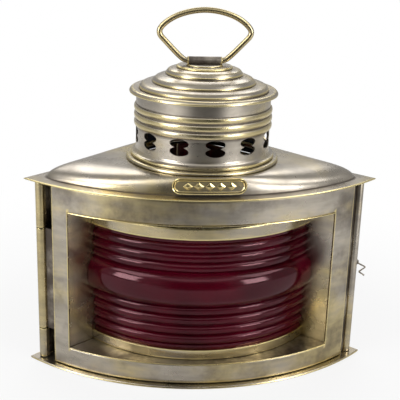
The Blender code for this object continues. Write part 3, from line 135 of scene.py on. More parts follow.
class LensSizes(bpy.types.PropertyGroup):
    """Sizes of the ribbed lens and its channels."""

    radius: length_property("Radius", "Radius to the prisms' crests", 0.1015)
    bore: length_property("Bore", "Radius of the smooth inner face", 0.0950)
    half_angle: angle_property("Half angle", "Half of the lens's sweep", 50.0)
    middle: length_property("Middle", "Height of the belt's middle", 0.0690)
    belt_half: length_property("Belt half height", "Half the belt's height", 0.0126)
    bulge: length_property("Belt bulge", "How far the belt stands out past the prisms", 0.0052)
    pitch: length_property("Prism pitch", "Height of one prism", 0.0074)
    depth: length_property("Prism depth", "Depth of the steps between prisms", 0.0026)
    prisms_above: IntProperty(name="Prisms above", description="Prisms over the belt", default=3)
    prisms_below: IntProperty(name="Prisms below", description="Prisms under the belt", default=4)


class LampColours(bpy.types.PropertyGroup):
    """Colours of the finishes."""

    patina: colour_property("Patina", "Grey-beige antiqued brass", (0.455, 0.41, 0.345))
    warm_brass: colour_property("Warm brass", "Where the patina is thin", (0.52, 0.43, 0.235))
    rubbed_edge: colour_property("Rubbed edge", "Edges rubbed back to gold", (0.72, 0.60, 0.29))
    # Also painted shade: this colour covers the dim and shadow finishes nearly whole
    tarnish_and_shade: colour_property("Tarnish", "Dark residue in recesses", (0.095, 0.078, 0.066))
    # Soot with painted shade: the near-black blue of the lamp's dark inside
    soot_and_shade: colour_property("Soot", "Lamp black inside the chimney", (0.008, 0.012, 0.020))
    ruby: colour_property("Ruby glass", "Colour of the lens", (0.14, 0.0025, 0.016))
    cotton: colour_property("Wick cotton", "Colour of the wick", (0.70, 0.64, 0.50))
    steel: colour_property("Pin steel", "Colour of the pins", (0.42, 0.40, 0.37))
    floor: colour_property("Floor", "Colour of the floor", (0.62, 0.62, 0.62))


def put(tree, socket, value):
    """Links a socket, or sets it to a plain value."""
    if isinstance(value, bpy.types.NodeSocket):
        tree.links.new(value, socket)
    else:
        socket.default_value = value


def fill(tree, node, inputs):
    """Fills a node's inputs, named or numbered, with sockets or plain values."""
    for label, value in inputs.items():
        put(tree, node.inputs[label], value)


def add(tree, kind, inputs=None, **settings):
    """A new node with its settings and its inputs."""
    made = tree.nodes.new(kind)
    for label, value in settings.items():
        setattr(made, label, value)
    fill(tree, made, inputs or {})
    return made


def calc(tree, operation, *values):
    """The output of a Math node on sockets or numbers."""
    return add(tree, "ShaderNodeMath", dict(enumerate(values)), operation=operation).outputs[0]


def spread(tree, value, low, high, to_low=0.0, to_high=1.0):
    """A value's range mapped smoothly onto another, and held at its ends."""
    made = add(tree, "ShaderNodeMapRange", {
        "Value": value, "From Min": low, "From Max": high, "To Min": to_low, "To Max": to_high,
    }, interpolation_type="SMOOTHSTEP")
    return made.outputs["Result"]


def blend(tree, share, first, second, way="MIX"):
    """Two colours mixed by a share."""
    first, second = (
        given if isinstance(given, bpy.types.NodeSocket) else (*given, 1.0) for given in (first, second)
    )
    made = add(tree, "ShaderNodeMix", {0: share, 6: first, 7: second}, data_type="RGBA", blend_type=way)
    return made.outputs[2]


def noise(tree, coordinates, scale, detail=3.0, roughness=0.55, stretch=(1.0, 1.0, 1.0)):
    """Noise on the piece's own coordinates, stretched along its axes."""
    place = add(tree, "ShaderNodeMapping", {"Vector": coordinates, "Scale": stretch}).outputs["Vector"]
    made = add(tree, "ShaderNodeTexNoise", {
        "Vector": place, "Scale": scale, "Detail": detail, "Roughness": roughness,
    })
    return made.outputs["Fac"]


def start_material(name):
    """A new material, its tree, its shader and the piece's own coordinates."""
    made = bpy.data.materials.new(name)
    made.use_nodes = True
    tree = made.node_tree
    return made, tree, tree.nodes["Principled BSDF"], add(tree, "ShaderNodeTexCoord").outputs["Object"]


def roughen(tree, shader, height, strength, distance):
    """Gives a shader a fine relief."""
    bump = add(tree, "ShaderNodeBump", {"Strength": strength, "Distance": distance, "Height": height})
    put(tree, shader.inputs["Normal"], bump.outputs["Normal"])


def make_brass(name, warmth, dirt_and_shade, roughness, relief):
    """Antiqued brass: patina over warm metal in clouds and streaks, gold on worn edges, dark in recesses, and
    tarnish patches that a high dirt value spreads into painted shade over nearly the whole piece.

    Below a wear of -0.6 the metal is hidden under soot and painted shade.
    """
    colours = bpy.context.scene.lamp_colours
    made, tree, shader, coordinates = start_material(name)
    do = partial(calc, tree)
    clouds = noise(tree, coordinates, 14.0, 4.0)
    streaks = noise(tree, coordinates, 95.0, 3.0, 0.6, (0.22, 0.22, 1.0))
    patches = noise(tree, coordinates, 30.0, 5.0, 0.6)
    grain = noise(tree, coordinates, 700.0, 2.0, 0.5, (0.3, 0.3, 1.0))
    wear = add(tree, "ShaderNodeAttribute", attribute_name="wear").outputs["Fac"]
    edge = spread(tree, wear, 0.25, 1.0)
    groove = do("MINIMUM", do("MAXIMUM", do("MULTIPLY", wear, -2.0), 0.0), 1.0)
    # Soot inside the chimney and under the cap, painted near black as the shade inside the lamp
    sooty_shade = spread(tree, wear, -0.60, -0.95)
    drift = do("ADD", clouds, do("MULTIPLY", do("SUBTRACT", streaks, 0.5), 0.35))
    thin = spread(tree, drift, 0.66 - warmth * 0.4, 0.90 - warmth * 0.4)
    colour = blend(tree, thin, colours.patina, colours.warm_brass)
    colour = blend(tree, 1.0, colour, spread(tree, streaks, 0.32, 0.68, 0.80, 1.12), "MULTIPLY")
    # Tarnish patches; with the high dirt value of the dim and shadow finishes they become painted shade over
    # nearly the whole piece
    dull_and_shade = spread(tree, patches, 0.50 - dirt_and_shade * 0.10, 0.84 - dirt_and_shade * 0.14)
    colour = blend(tree, do("MULTIPLY", dull_and_shade, min(dirt_and_shade, 1.0)), colour, colours.tarnish_and_shade)
    broken = do("MULTIPLY", edge, spread(tree, streaks, 0.30, 0.55, 0.40, 1.0))
    colour = blend(tree, broken, colour, colours.rubbed_edge)
    colour = blend(tree, do("MULTIPLY", groove, 0.80), colour, colours.tarnish_and_shade)
    colour = blend(tree, sooty_shade, colour, colours.soot_and_shade)
    sheen = spread(tree, patches, 0.3, 0.7, roughness - 0.04, roughness + 0.09)
    for share, change in ((broken, -0.05), (groove, 0.20), (sooty_shade, 0.30)):
        sheen = do("ADD", sheen, do("MULTIPLY", share, change))
    fill(tree, shader, {"Base Color": colour, "Metallic": do("SUBTRACT", 1.0, sooty_shade), "Roughness": sheen})
    height = do("ADD", do("MULTIPLY", grain, 0.25), do("MULTIPLY", patches, 0.75))
    roughen(tree, shader, height, relief, 0.0003)
    return made


def make_soot_and_shade():
    """Lamp black and painted shade with rusty breaks, for the undersides over the flame."""
    colours = bpy.context.scene.lamp_colours
    made, tree, shader, coordinates = start_material("soot_and_shade_lining")
    flakes = noise(tree, coordinates, 60.0, 4.0, 0.6)
    fill(tree, shader, {
        "Base Color": blend(tree, spread(tree, flakes, 0.45, 0.75), colours.soot_and_shade, colours.tarnish_and_shade),
        "Roughness": spread(tree, flakes, 0.3, 0.7, 0.65, 0.9),
    })
    return made


def make_ruby_glass():
    """Deep red pressed glass with slight ripples and faint seeds."""
    ruby = bpy.context.scene.lamp_colours.ruby
    made, tree, shader, coordinates = start_material("deep_ruby")
    depth = noise(tree, coordinates, 22.0, 2.0)
    ripple = noise(tree, coordinates, 45.0, 2.0, 0.5, (1.0, 1.0, 0.5))
    seeds = noise(tree, coordinates, 400.0, 1.0)
    fill(tree, shader, {
        "Base Color": blend(tree, spread(tree, depth, 0.35, 0.65), [part * 0.45 for part in ruby], ruby),
        "Roughness": spread(tree, seeds, 0.45, 0.8, 0.11, 0.17),
        "Transmission Weight": 0.70,
        "IOR": 1.5,
        "Specular IOR Level": 0.3,
        "Specular Tint": (1.0, 0.55, 0.60, 1.0),
    })
    roughen(tree, shader, ripple, 0.12, 0.0010)
    return made


def make_steel():
    """Plain drawn pin stock with fine lines round it."""
    steel = bpy.context.scene.lamp_colours.steel
    made, tree, shader, coordinates = start_material("drawn_steel")
    lines = noise(tree, coordinates, 800.0, 2.0, 0.5, (0.2, 0.2, 1.0))
    fill(tree, shader, {
        "Base Color": blend(tree, spread(tree, lines, 0.3, 0.7), [part * 0.5 for part in steel], steel),
        "Roughness": spread(tree, lines, 0.3, 0.7, 0.28, 0.42),
        "Metallic": 1.0,
    })
    return made


def make_cotton():
    """A woven flat wick, charred where it meets the flame."""
    cotton = bpy.context.scene.lamp_colours.cotton
    made, tree, shader, coordinates = start_material("woven_wick")
    threads = {"Vector": coordinates, "Scale": 420.0}
    waves = [add(tree, "ShaderNodeTexWave", threads, bands_direction=way) for way in ("X", "Z")]
    cloth = calc(tree, "MULTIPLY", *(wave.outputs["Fac"] for wave in waves))
    height = add(tree, "ShaderNodeSeparateXYZ", {0: coordinates}).outputs["Z"]
    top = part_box("wick")[1].z
    char = spread(tree, height, top - 0.006, top - 0.001)
    colour = blend(tree, cloth, [part * 0.6 for part in cotton], cotton)
    fill(tree, shader, {"Base Color": blend(tree, char, colour, (0.02, 0.018, 0.016)), "Roughness": 0.92})
    roughen(tree, shader, cloth, 0.5, 0.0003)
    return made


# Each brass finish: warmth, dirt, roughness, relief. The dim and shadow finishes paint shade with a high dirt
# value: the dim one on the sill inside the window, and it darkens the latch hook; the shadow one on the
# pieces in the door's gaps, the ferrule and the rear seams
BRASS_LOOKS = {
    "aged_brass": (0.45, 0.45, 0.27, 0.05),
    "door_brass": (0.62, 0.75, 0.30, 0.05),
    "warm_brass": (0.85, 0.35, 0.25, 0.02),
    "dim_shaded_brass": (0.15, 1.30, 0.36, 0.05),
    "side_brass": (0.55, 0.55, 0.34, 0.05),
    "shadow_brass": (0.0, 1.90, 0.50, 0.05),
}
OTHER_LOOKS = {
    "soot_and_shade_lining": make_soot_and_shade, "deep_ruby": make_ruby_glass, "drawn_steel": make_steel,
    "woven_wick": make_cotton,
}


def finish(name):
    """One of the lamp's finishes, made when it is first asked for."""
    found = bpy.data.materials.get(name)
    if found:
        return found
    return make_brass(name, *BRASS_LOOKS[name]) if name in BRASS_LOOKS else OTHER_LOOKS[name]()


def set_up_piece(name, mesh, look, body, replaced=()):
    """Puts a finished mesh in the scene, rides it on its body and hides the frame's pieces that it replaces.
    """
    piece = bpy.data.objects.new(name, mesh)
    bpy.context.scene.collection.objects.link(piece)
    mesh.materials.clear()
    mesh.materials.append(finish(look))
    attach(piece, body)
    if replaced:
        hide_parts(*replaced)
    return piece


def close_shape(name, shape, weld=True):
    """A smooth mesh of a bmesh, with its faces outwards and its real edges sharp."""
    if weld:
        bmesh.ops.remove_doubles(shape, verts=shape.verts, dist=WELD)
    bmesh.ops.recalc_face_normals(shape, faces=shape.faces)
    mesh = bpy.data.meshes.new(name)
    shape.to_mesh(mesh)
    shape.free()
    mesh.shade_smooth()
    mesh.set_sharp_from_angle(angle=SMOOTH_ANGLE)
    return mesh


def face_outwards(mesh, outwards):
    """Turns a sheet over if its faces look inwards; a function gives the way out at a face's middle."""
    shape = bmesh.new()
    shape.from_mesh(mesh)
    agreed = sum(
        face.normal.dot(outwards(face.calc_center_median())) * face.calc_area() for face in shape.faces
    )
    if agreed < 0:
        bmesh.ops.reverse_faces(shape, faces=shape.faces)
        shape.to_mesh(mesh)
    shape.free()


def worn_profile(points, radius=0.0005, guard=0.0012):
    """A closed profile with its corners rounded, as (radius, height, wear).

    Wear is up to 1 on corners that stand out, below 0 in corners that turn in, and 0 elsewhere.
    """
    count = len(points)
    area = sum(points[i - 1][0] * points[i][1] - points[i][0] * points[i - 1][1] for i in range(count))
    made = []
    for i, corner in enumerate(points):
        here = Vector(corner)
        before = Vector(points[i - 1]) - here
        after = Vector(points[(i + 1) % count]) - here
        turn = before.angle_signed(-after) if before.length and after.length else 0.0
        if abs(here.x) < WELD or abs(turn) < LEAST_CORNER:
            made.append((here.x, here.y, 0.0))
            continue
        reach = min(radius, before.length * 0.45, after.length * 0.45)
        cross = before.x * after.y - before.y * after.x
        wear = max(math.copysign(min(1.0, abs(turn) / FULL_WEAR_CORNER), -cross * area), GROOVE_WEAR)
        back, ahead = before.normalized(), after.normalized()
        if before.length > 2 * (reach + guard):
            made.append((*(here + back * (reach + guard)), 0.0))
        for share in (0.0, 0.5, 1.0):
            point = here + back * reach * (1 - share) ** 2 + ahead * reach * share ** 2
            made.append((point.x, point.y, wear))
        if after.length > 2 * (reach + guard):
            made.append((*(here + ahead * (reach + guard)), 0.0))
    return made


def add_rings(shape, rows, close_rows=False):
    """Faces between closed rows of corners given as (point, wear)."""
    layer = shape.verts.layers.float.get("wear") or shape.verts.layers.float.new("wear")
    rings = []
    for row in rows:
        ring = []
        for point, wear in row:
            corner = shape.verts.new(point)
            corner[layer] = wear
            ring.append(corner)
        rings.append(ring)
    pairs = list(zip(rings, rings[1:]))
    if close_rows:
        pairs.append((rings[-1], rings[0]))
    for lower, upper in pairs:
        for i in range(len(lower)):
            shape.faces.new((lower[i - 1], lower[i], upper[i], upper[i - 1]))
    return rings


def turned_mesh(name, profile, steps, centre, closed=True):
    """A worn profile turned about an upright axis."""
    turns = [math.tau * i / steps for i in range(steps)]
    rows = [
        [((centre[0] + radius * math.cos(turn), centre[1] + radius * math.sin(turn), height), wear)
         for turn in turns]
        for radius, height, wear in profile
    ]
    shape = bmesh.new()
    add_rings(shape, rows, close_rows=closed)
    bmesh.ops.remove_doubles(shape, verts=shape.verts, dist=WELD)
    flat = [face for face in shape.faces if face.calc_area() < 1e-14]
    bmesh.ops.delete(shape, geom=flat, context="FACES_ONLY")
    return close_shape(name, shape)


def polar(radius, angle, centre_y=APEX_Y):
    """A plan point at a radius from a centre on the middle plane, the angle counted from -Y to +X."""
    return (radius * math.sin(angle), centre_y - radius * math.cos(angle))


def swept_mesh(name, profile, half_angle, steps, centre_y):
    """A worn profile swept about an upright axis to both sides of the middle, with both ends closed."""
    rows = []
    for i in range(steps + 1):
        angle = half_angle * (2 * i / steps - 1)
        rows.append([((*polar(radius, angle, centre_y), height), wear) for radius, height, wear in profile])
    shape = bmesh.new()
    rings = add_rings(shape, rows)
    shape.faces.new(rings[0])
    shape.faces.new(rings[-1])
    return close_shape(name, shape)


def wire_mesh(name, points, radius, sides):
    """A round wire along points, with closed ends."""
    curve = bpy.data.curves.new(name, "CURVE")
    curve.dimensions = "3D"
    curve.bevel_depth = radius
    curve.bevel_resolution = sides
    curve.use_fill_caps = True
    spline = curve.splines.new("POLY")
    spline.points.add(len(points) - 1)
    for place, point in zip(spline.points, points):
        place.co = (*point, 1.0)
    spline.use_smooth = True
    drawn = bpy.data.objects.new(name + "_path", curve)
    bpy.context.scene.collection.objects.link(drawn)
    bpy.context.view_layer.update()
    mesh = bpy.data.meshes.new_from_object(drawn.evaluated_get(bpy.context.evaluated_depsgraph_get()))
    bpy.data.objects.remove(drawn, do_unlink=True)
    bpy.data.curves.remove(curve)
    shape = bmesh.new()
    shape.from_mesh(mesh)
    bpy.data.meshes.remove(mesh)
    return close_shape(name, shape)


def closed_wire(name, stations, radius, sides, wear):
    """A round wire on a closed route, given at each station as its place, its way out and its way across."""
    turns = [math.tau * k / sides for k in range(sides)]
    circle = [(radius * math.cos(turn), radius * math.sin(turn)) for turn in turns]
    rows = [
        [(place + out * outwards + across * aside, wear) for outwards, aside in circle]
        for place, out, across in stations
    ]
    shape = bmesh.new()
    add_rings(shape, rows, close_rows=True)
    return close_shape(name, shape)


def through(points, steps):
    """A smooth run of points through the given ones."""
    padded = [Vector(point) for point in (points[0], *points, points[-1])]
    made = []
    for a, b, c, d in zip(padded, padded[1:], padded[2:], padded[3:]):
        for t in (i / steps for i in range(steps)):
            made.append(0.5 * (
                2 * b + (c - a) * t + (2 * a - 5 * b + 4 * c - d) * t * t + (3 * b - a - 3 * c + d) * t ** 3
            ))
    return made + [Vector(points[-1])]


def wall_point(side, run, offset):
    """A plan point by its run from the apex along a front corner's ray and its offset out from that ray."""
    across = run * math.sin(SECTOR_HALF) + offset * math.cos(SECTOR_HALF)
    back = run * math.cos(SECTOR_HALF) - offset * math.sin(SECTOR_HALF)
    return (side * across, APEX_Y - back)


def rear_half_width(rear, inset):
    """Half the width of a plan outline's rear flat."""
    return (rear * math.sin(SECTOR_HALF) - inset) / math.cos(SECTOR_HALF)


def sector_outline(radius, inset, rear, arc_steps, side_steps, rear_steps):
    """The plan outline: the front arc, the right side, the rear flat and the left side."""
    half = SECTOR_HALF - math.asin(inset / radius)
    back = rear_half_width(rear, inset)
    right, left = Vector(polar(radius, half)), Vector(polar(radius, -half))
    rear_right, rear_left = Vector((back, APEX_Y - rear)), Vector((-back, APEX_Y - rear))
    points = [Vector(polar(radius, -half + 2 * half * i / arc_steps)) for i in range(arc_steps)]
    for start, end, steps in (
        (right, rear_right, side_steps), (rear_right, rear_left, rear_steps), (rear_left, left, side_steps)
    ):
        points += [start.lerp(end, i / steps) for i in range(steps)]
    return points


def soften(points, passes):
    """A closed outline with its corners eased by averaging neighbours."""
    for _ in range(passes):
        count = len(points)
        points = [points[i] * 0.5 + (points[i - 1] + points[(i + 1) % count]) * 0.25 for i in range(count)]
    return points


def thicken(piece, thickness):
    """Gives a sheet its wall, inwards."""
    wall = piece.modifiers.new("sheet", "SOLIDIFY")
    wall.thickness = thickness
    wall.offset = -1.0
    wall.use_even_offset = True
    return wall


# The hood's brim and the foot of its dome, row by row: distance inwards, drop or rise, wear
BRIM_ROWS = (
    (0.0, 0.0008, 1.0), (0.0, 0.0004, 1.0), (0.0003, 0.0001, 1.0), (0.0009, 0.0, 0.8), (0.0020, 0.0, 0.0),
)
FOOT_ROWS = ((0.0024, 0.0, 0.0), (0.0008, 0.0, -0.5), (0.0, 0.0004, -0.7))
HOOD_STEPS = (100, 60, 8)
DOME_ROWS = 34
DOME_CROWDING = 1.9
DOME_FOOT_WEAR = -0.15


class LAMP_OT_hood(bpy.types.Operator):
    """Builds the pillow-shaped hood with its flat brim"""

    bl_idname = "lamp.hood"
    bl_label = "Hood"

    def execute(self, context):
        sizes = context.scene.lamp_plan
        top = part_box("hood")[1].z - sizes.dome_height
        brim = sector_outline(BRIM_RADIUS, 0.0, BRIM_REAR, *HOOD_STEPS)
        foot = sector_outline(sizes.dome_radius, sizes.dome_inset, sizes.dome_rear, *HOOD_STEPS)
        foot = soften(foot, sizes.corner_softness)
        centre = Vector((0.0, CHIMNEY_Y))
        inward = [(f - b).normalized() for f, b in zip(foot, brim)]
        outward = [(f - centre).normalized() for f in foot]
        rows = [
            [((*(b + i * distance), top - drop), wear) for b, i in zip(brim, inward)]
            for distance, drop, wear in BRIM_ROWS
        ]
        rows += [
            [((*(f - i * distance), top + rise), wear) for f, i in zip(foot, inward)]
            for distance, rise, wear in FOOT_ROWS
        ]
        for k in range(1, DOME_ROWS + 1):
            share = (k / DOME_ROWS) ** DOME_CROWDING
            rise = sizes.dome_height * (1 - (1 - share) ** sizes.dome_power) ** (1 / sizes.dome_power)
            wear = 0.0 if k > 1 else DOME_FOOT_WEAR
            rows.append([
                ((*f.lerp(centre + d * sizes.ring_radius, share), top + rise), wear)
                for f, d in zip(foot, outward)
            ])
        rows.append([((*(centre + d * sizes.hood_hole), top + sizes.dome_height), 0.0) for d in outward])
        shape = bmesh.new()
        add_rings(shape, rows)
        mesh = close_shape("hood_shell", shape, weld=False)
        face_outwards(mesh, lambda middle: Vector((0.0, 0.0, 1.0)))
        hood = set_up_piece("hood_shell", mesh, "aged_brass", "body", ("hood",))
        # The hood's inside is lined with soot and painted shade
        mesh.materials.append(finish("soot_and_shade_lining"))
        thicken(hood, sizes.sheet).material_offset = 1
        return {"FINISHED"}


def start_tree(name, inputs):
    """A geometry tree with named inputs, given as (label, kind, default), and the sockets that give them."""
    tree = bpy.data.node_groups.new(name, "GeometryNodeTree")
    tree.is_modifier = True
    for label, kind, default in inputs:
        socket = tree.interface.new_socket(label, in_out="INPUT", socket_type="NodeSocket" + kind)
        if default is not None:
            socket.default_value = default
    tree.interface.new_socket("Geometry", in_out="OUTPUT", socket_type="NodeSocketGeometry")
    return tree, add(tree, "NodeGroupInput").outputs


def end_tree(tree, result, look):
    """Ends a tree in real geometry with its finish."""
    dressed = add(tree, "GeometryNodeSetMaterial", {"Geometry": made_real(tree, result), "Material": look})
    add(tree, "NodeGroupOutput", {0: dressed.outputs[0]})
    return tree


def made_real(tree, instances):
    return add(tree, "GeometryNodeRealizeInstances", {0: instances}).outputs[0]


def vector(tree, **parts):
    return add(tree, "ShaderNodeCombineXYZ", parts).outputs[0]


def moved(tree, geometry, **change):
    """Geometry scaled, turned or moved."""
    return add(tree, "GeometryNodeTransform", {"Geometry": geometry, **change}).outputs[0]


def repeated(tree, points, piece, turn):
    """A piece at each of the points."""
    inputs = {"Points": points, "Instance": piece, "Rotation": turn}
    return add(tree, "GeometryNodeInstanceOnPoints", inputs).outputs[0]


def placed_by(tree, geometry, radius, angle, centre_y, height):
    """Geometry with each point set by its radius and angle about an upright axis, and its height."""
    across = calc(tree, "MULTIPLY", radius, calc(tree, "SINE", angle))
    back = calc(tree, "MULTIPLY", radius, calc(tree, "COSINE", angle))
    place = vector(tree, X=across, Y=calc(tree, "SUBTRACT", centre_y, back), Z=height)
    return add(tree, "GeometryNodeSetPosition", {"Geometry": geometry, "Position": place}).outputs[0]


def cut_out(tree, solid, tools):
    """A solid with the tools cut out of it."""
    cut = add(tree, "GeometryNodeMeshBoolean", {"Mesh 1": solid}, operation="DIFFERENCE", solver="EXACT")
    for tool in tools:
        put(tree, cut.inputs["Mesh 2"], made_real(tree, tool))
    return cut.outputs["Mesh"]


def grow(name, mesh, tree, values, wear=None):
    """The plain mesh that a tree makes of a mesh, with the tree's named inputs set, evenly worn if asked."""
    holder = bpy.data.objects.new(name + "_source", mesh)
    bpy.context.scene.collection.objects.link(holder)
    step = holder.modifiers.new(tree.name, "NODES")
    step.node_group = tree
    for item in tree.interface.items_tree:
        if item.item_type == "SOCKET" and item.in_out == "INPUT" and item.name in values:
            step[item.identifier] = values[item.name]
    bpy.context.view_layer.update()
    made = bpy.data.meshes.new_from_object(holder.evaluated_get(bpy.context.evaluated_depsgraph_get()))
    holder.modifiers.remove(step)
    bpy.data.objects.remove(holder, do_unlink=True)
    made.name = name
    shape = bmesh.new()
    shape.from_mesh(made)
    bpy.data.meshes.remove(made)
    if wear is not None:
        layer = shape.verts.layers.float.new("wear")
        for corner in shape.verts:
            corner[layer] = wear
    return close_shape(name, shape)


def stud_tree():
    """A tree that sets a row of pointed studs on an arc about an upright axis."""
    tree, given = start_tree("Row of studs", (
        ("Source", "Geometry", None), ("Studs", "Int", bpy.context.scene.lamp_plan.studs),
        ("Spacing", "Float", 0.0072), ("Arc radius", "Float", 0.1691), ("Height", "Float", 0.1468),
        ("Centre Y", "Float", APEX_Y), ("Stud width", "Float", 0.0068), ("Stud height", "Float", 0.0054),
        ("Stud rise", "Float", 0.0009), ("Brass", "Material", None),
    ))
    do = partial(calc, tree)
    line = add(tree, "GeometryNodeMeshLine", {"Count": given["Studs"]})
    index = add(tree, "GeometryNodeInputIndex").outputs[0]
    middle = do("MULTIPLY", do("SUBTRACT", given["Studs"], 1.0), 0.5)
    along = do("MULTIPLY", do("SUBTRACT", index, middle), given["Spacing"])
    angle = do("DIVIDE", along, given["Arc radius"])
    radius, centre, height = (given[label] for label in ("Arc radius", "Centre Y", "Height"))
    points = placed_by(tree, line.outputs["Mesh"], radius, angle, centre, height)
    cone = {"Vertices": 4, "Radius Top": 0.12, "Radius Bottom": 0.5, "Depth": 1.0}
    stud = add(tree, "GeometryNodeMeshCone", cone).outputs["Mesh"]
    size = vector(tree, X=given["Stud width"], Y=given["Stud height"], Z=given["Stud rise"])
    stud = moved(tree, moved(tree, stud, Scale=size), Rotation=(math.pi / 2, 0.0, 0.0))
    return end_tree(tree, repeated(tree, points, stud, vector(tree, Z=angle)), given["Brass"])


# The plaque's face from its edge to its field: margin, height, wear
PLAQUE_ROWS = (
    (0.0, 0.0, 0.0), (0.0, 0.0008, 0.4), (0.0001, 0.0013, 1.0), (0.0004, 0.0016, 1.0), (0.0008, 0.0013, 1.0),
    (0.0010, 0.0007, -0.5), (0.0013, 0.0006, -0.5), (0.0015, 0.0010, 0.9), (0.0018, 0.0012, 1.0),
    (0.0021, 0.0009, 0.6), (0.0024, 0.0006, -0.35), (0.0030, 0.0006, 0.0), (0.0040, 0.0006, 0.0),
)
PLAQUE_FIELD = 0.0006
PLAQUE_END_STEPS = 22
PLAQUE_SIDE_STEPS = 24
PLAQUE_GAP = 0.0003


class LAMP_OT_plaque(bpy.types.Operator):
    """Builds the round-ended plaque on the hood's front, with a double rim and a row of plain lozenges"""

    bl_idname = "lamp.plaque"
    bl_label = "Plaque"

    def execute(self, context):
        sizes = context.scene.lamp_plan
        low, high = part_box("name_plate")
        middle = (low.z + high.z) / 2
        half_height = sizes.plaque_half_height
        straight = sizes.plaque_half_width - half_height
        back = sizes.dome_radius + PLAQUE_GAP
        outline = []
        for side in (1, -1):
            for i in range(PLAQUE_END_STEPS + 1):
                angle = -math.pi / 2 + math.pi * i / PLAQUE_END_STEPS
                outline.append((side * straight, side * math.cos(angle), side * math.sin(angle)))
            for i in range(1, PLAQUE_SIDE_STEPS):
                outline.append((side * straight * (1 - 2 * i / PLAQUE_SIDE_STEPS), 0.0, float(side)))
        rows = [[((*polar(back, shift / back), middle), 0.0) for shift, across, up in outline]]
        for margin, height, wear in (*PLAQUE_ROWS, (half_height, PLAQUE_FIELD, 0.0)):
            reach = half_height - margin
            rows.append([
                ((*polar(back + height, (shift + across * reach) / back), middle + up * reach), wear)
                for shift, across, up in outline
            ])
        shape = bmesh.new()
        add_rings(shape, rows)
        mesh = close_shape("plaque", shape)
        set_up_piece("plaque", mesh, "warm_brass", "body", ("name_plate",))
        seed = bpy.data.meshes.new("studs_seed")
        values = {"Brass": finish("warm_brass"), "Height": middle}
        studs = grow("plaque_studs", seed, stud_tree(), values, wear=1.0)
        set_up_piece("plaque_studs", studs, "warm_brass", "body")
        return {"FINISHED"}


# The cap's steps as shares of its radius and its rise: step's radius, nose, foot
CAP_STEPS = (
    (0.382, 0.985, 0.925), (0.520, 0.765, 0.672), (0.697, 0.450, 0.365), (0.870, 0.236, 0.112),
    (1.0, 0.085, 0.0),
)
# A tread's swell: share of its run, share of its swell
TREAD_SWELL = ((0.25, 0.85), (0.5, 1.0), (0.75, 0.9))
CAP_LIP = 0.0012
CAP_RIM = 0.0006
TREAD_RISE = 0.0009
NOSE_CROWN = 0.0004
NOSE_RUN = 0.0007
NOSE_DROP = 0.0005
RISER_DRAFT = 0.0004
SOOT_AND_SHADE_EDGE = 0.0013


def stepped_cap_profile():
    """The cap's dome in steps from its middle to its brim, and its underside back to the middle."""
    low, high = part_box("chimney_cap")
    radius = (high.x - low.x) / 2
    rise = high.z - low.z
    points = [(0.0, high.z)]
    before = None
    for top, nose, foot in CAP_STEPS:
        reach = radius * top
        nose_z, foot_z = low.z + rise * nose, low.z + rise * foot
        if before:
            for share, swell in TREAD_SWELL:
                level = before[1] + (nose_z + NOSE_CROWN - before[1]) * share
                points.append((before[0] + (reach - before[0]) * share, level + TREAD_RISE * swell))
        points.append((reach - NOSE_RUN, nose_z + NOSE_CROWN))
        points.append((reach, nose_z - NOSE_DROP))
        points.append((reach if foot == 0.0 else reach - RISER_DRAFT, foot_z))
        before = (reach, foot_z)
    under = [(radius - CAP_LIP, low.z), (radius - CAP_LIP, low.z + CAP_RIM)]
    for top, nose, foot in reversed(CAP_STEPS[:-1]):
        inside = radius * top - CAP_LIP
        under.append((inside, max(low.z + rise * foot - CAP_LIP, low.z + CAP_RIM)))
        under.append((inside, low.z + rise * foot + CAP_RIM))
    return points, under + [(0.0, high.z - CAP_LIP)]


class LAMP_OT_cap(bpy.types.Operator):
    """Builds the stepped cap, with soot and painted shade underneath"""

    bl_idname = "lamp.cap"
    bl_label = "Cap"

    def execute(self, context):
        outer, under = stepped_cap_profile()
        brim, foot = outer[-1]
        shaded = []
        underneath = False
        for radius, height, wear in worn_profile(outer + under, radius=0.0007, guard=0.0009):
            underneath = underneath or (radius > brim - SOOT_AND_SHADE_EDGE and height < foot + PROUD)
            shaded.append((radius, height, -0.9 if underneath else wear))
        mesh = turned_mesh("cap_dome", shaded, ROUND_STEPS, (0.0, CHIMNEY_Y))
        set_up_piece("cap_dome", mesh, "aged_brass", "body", ("chimney_cap",))
        return {"FINISHED"}


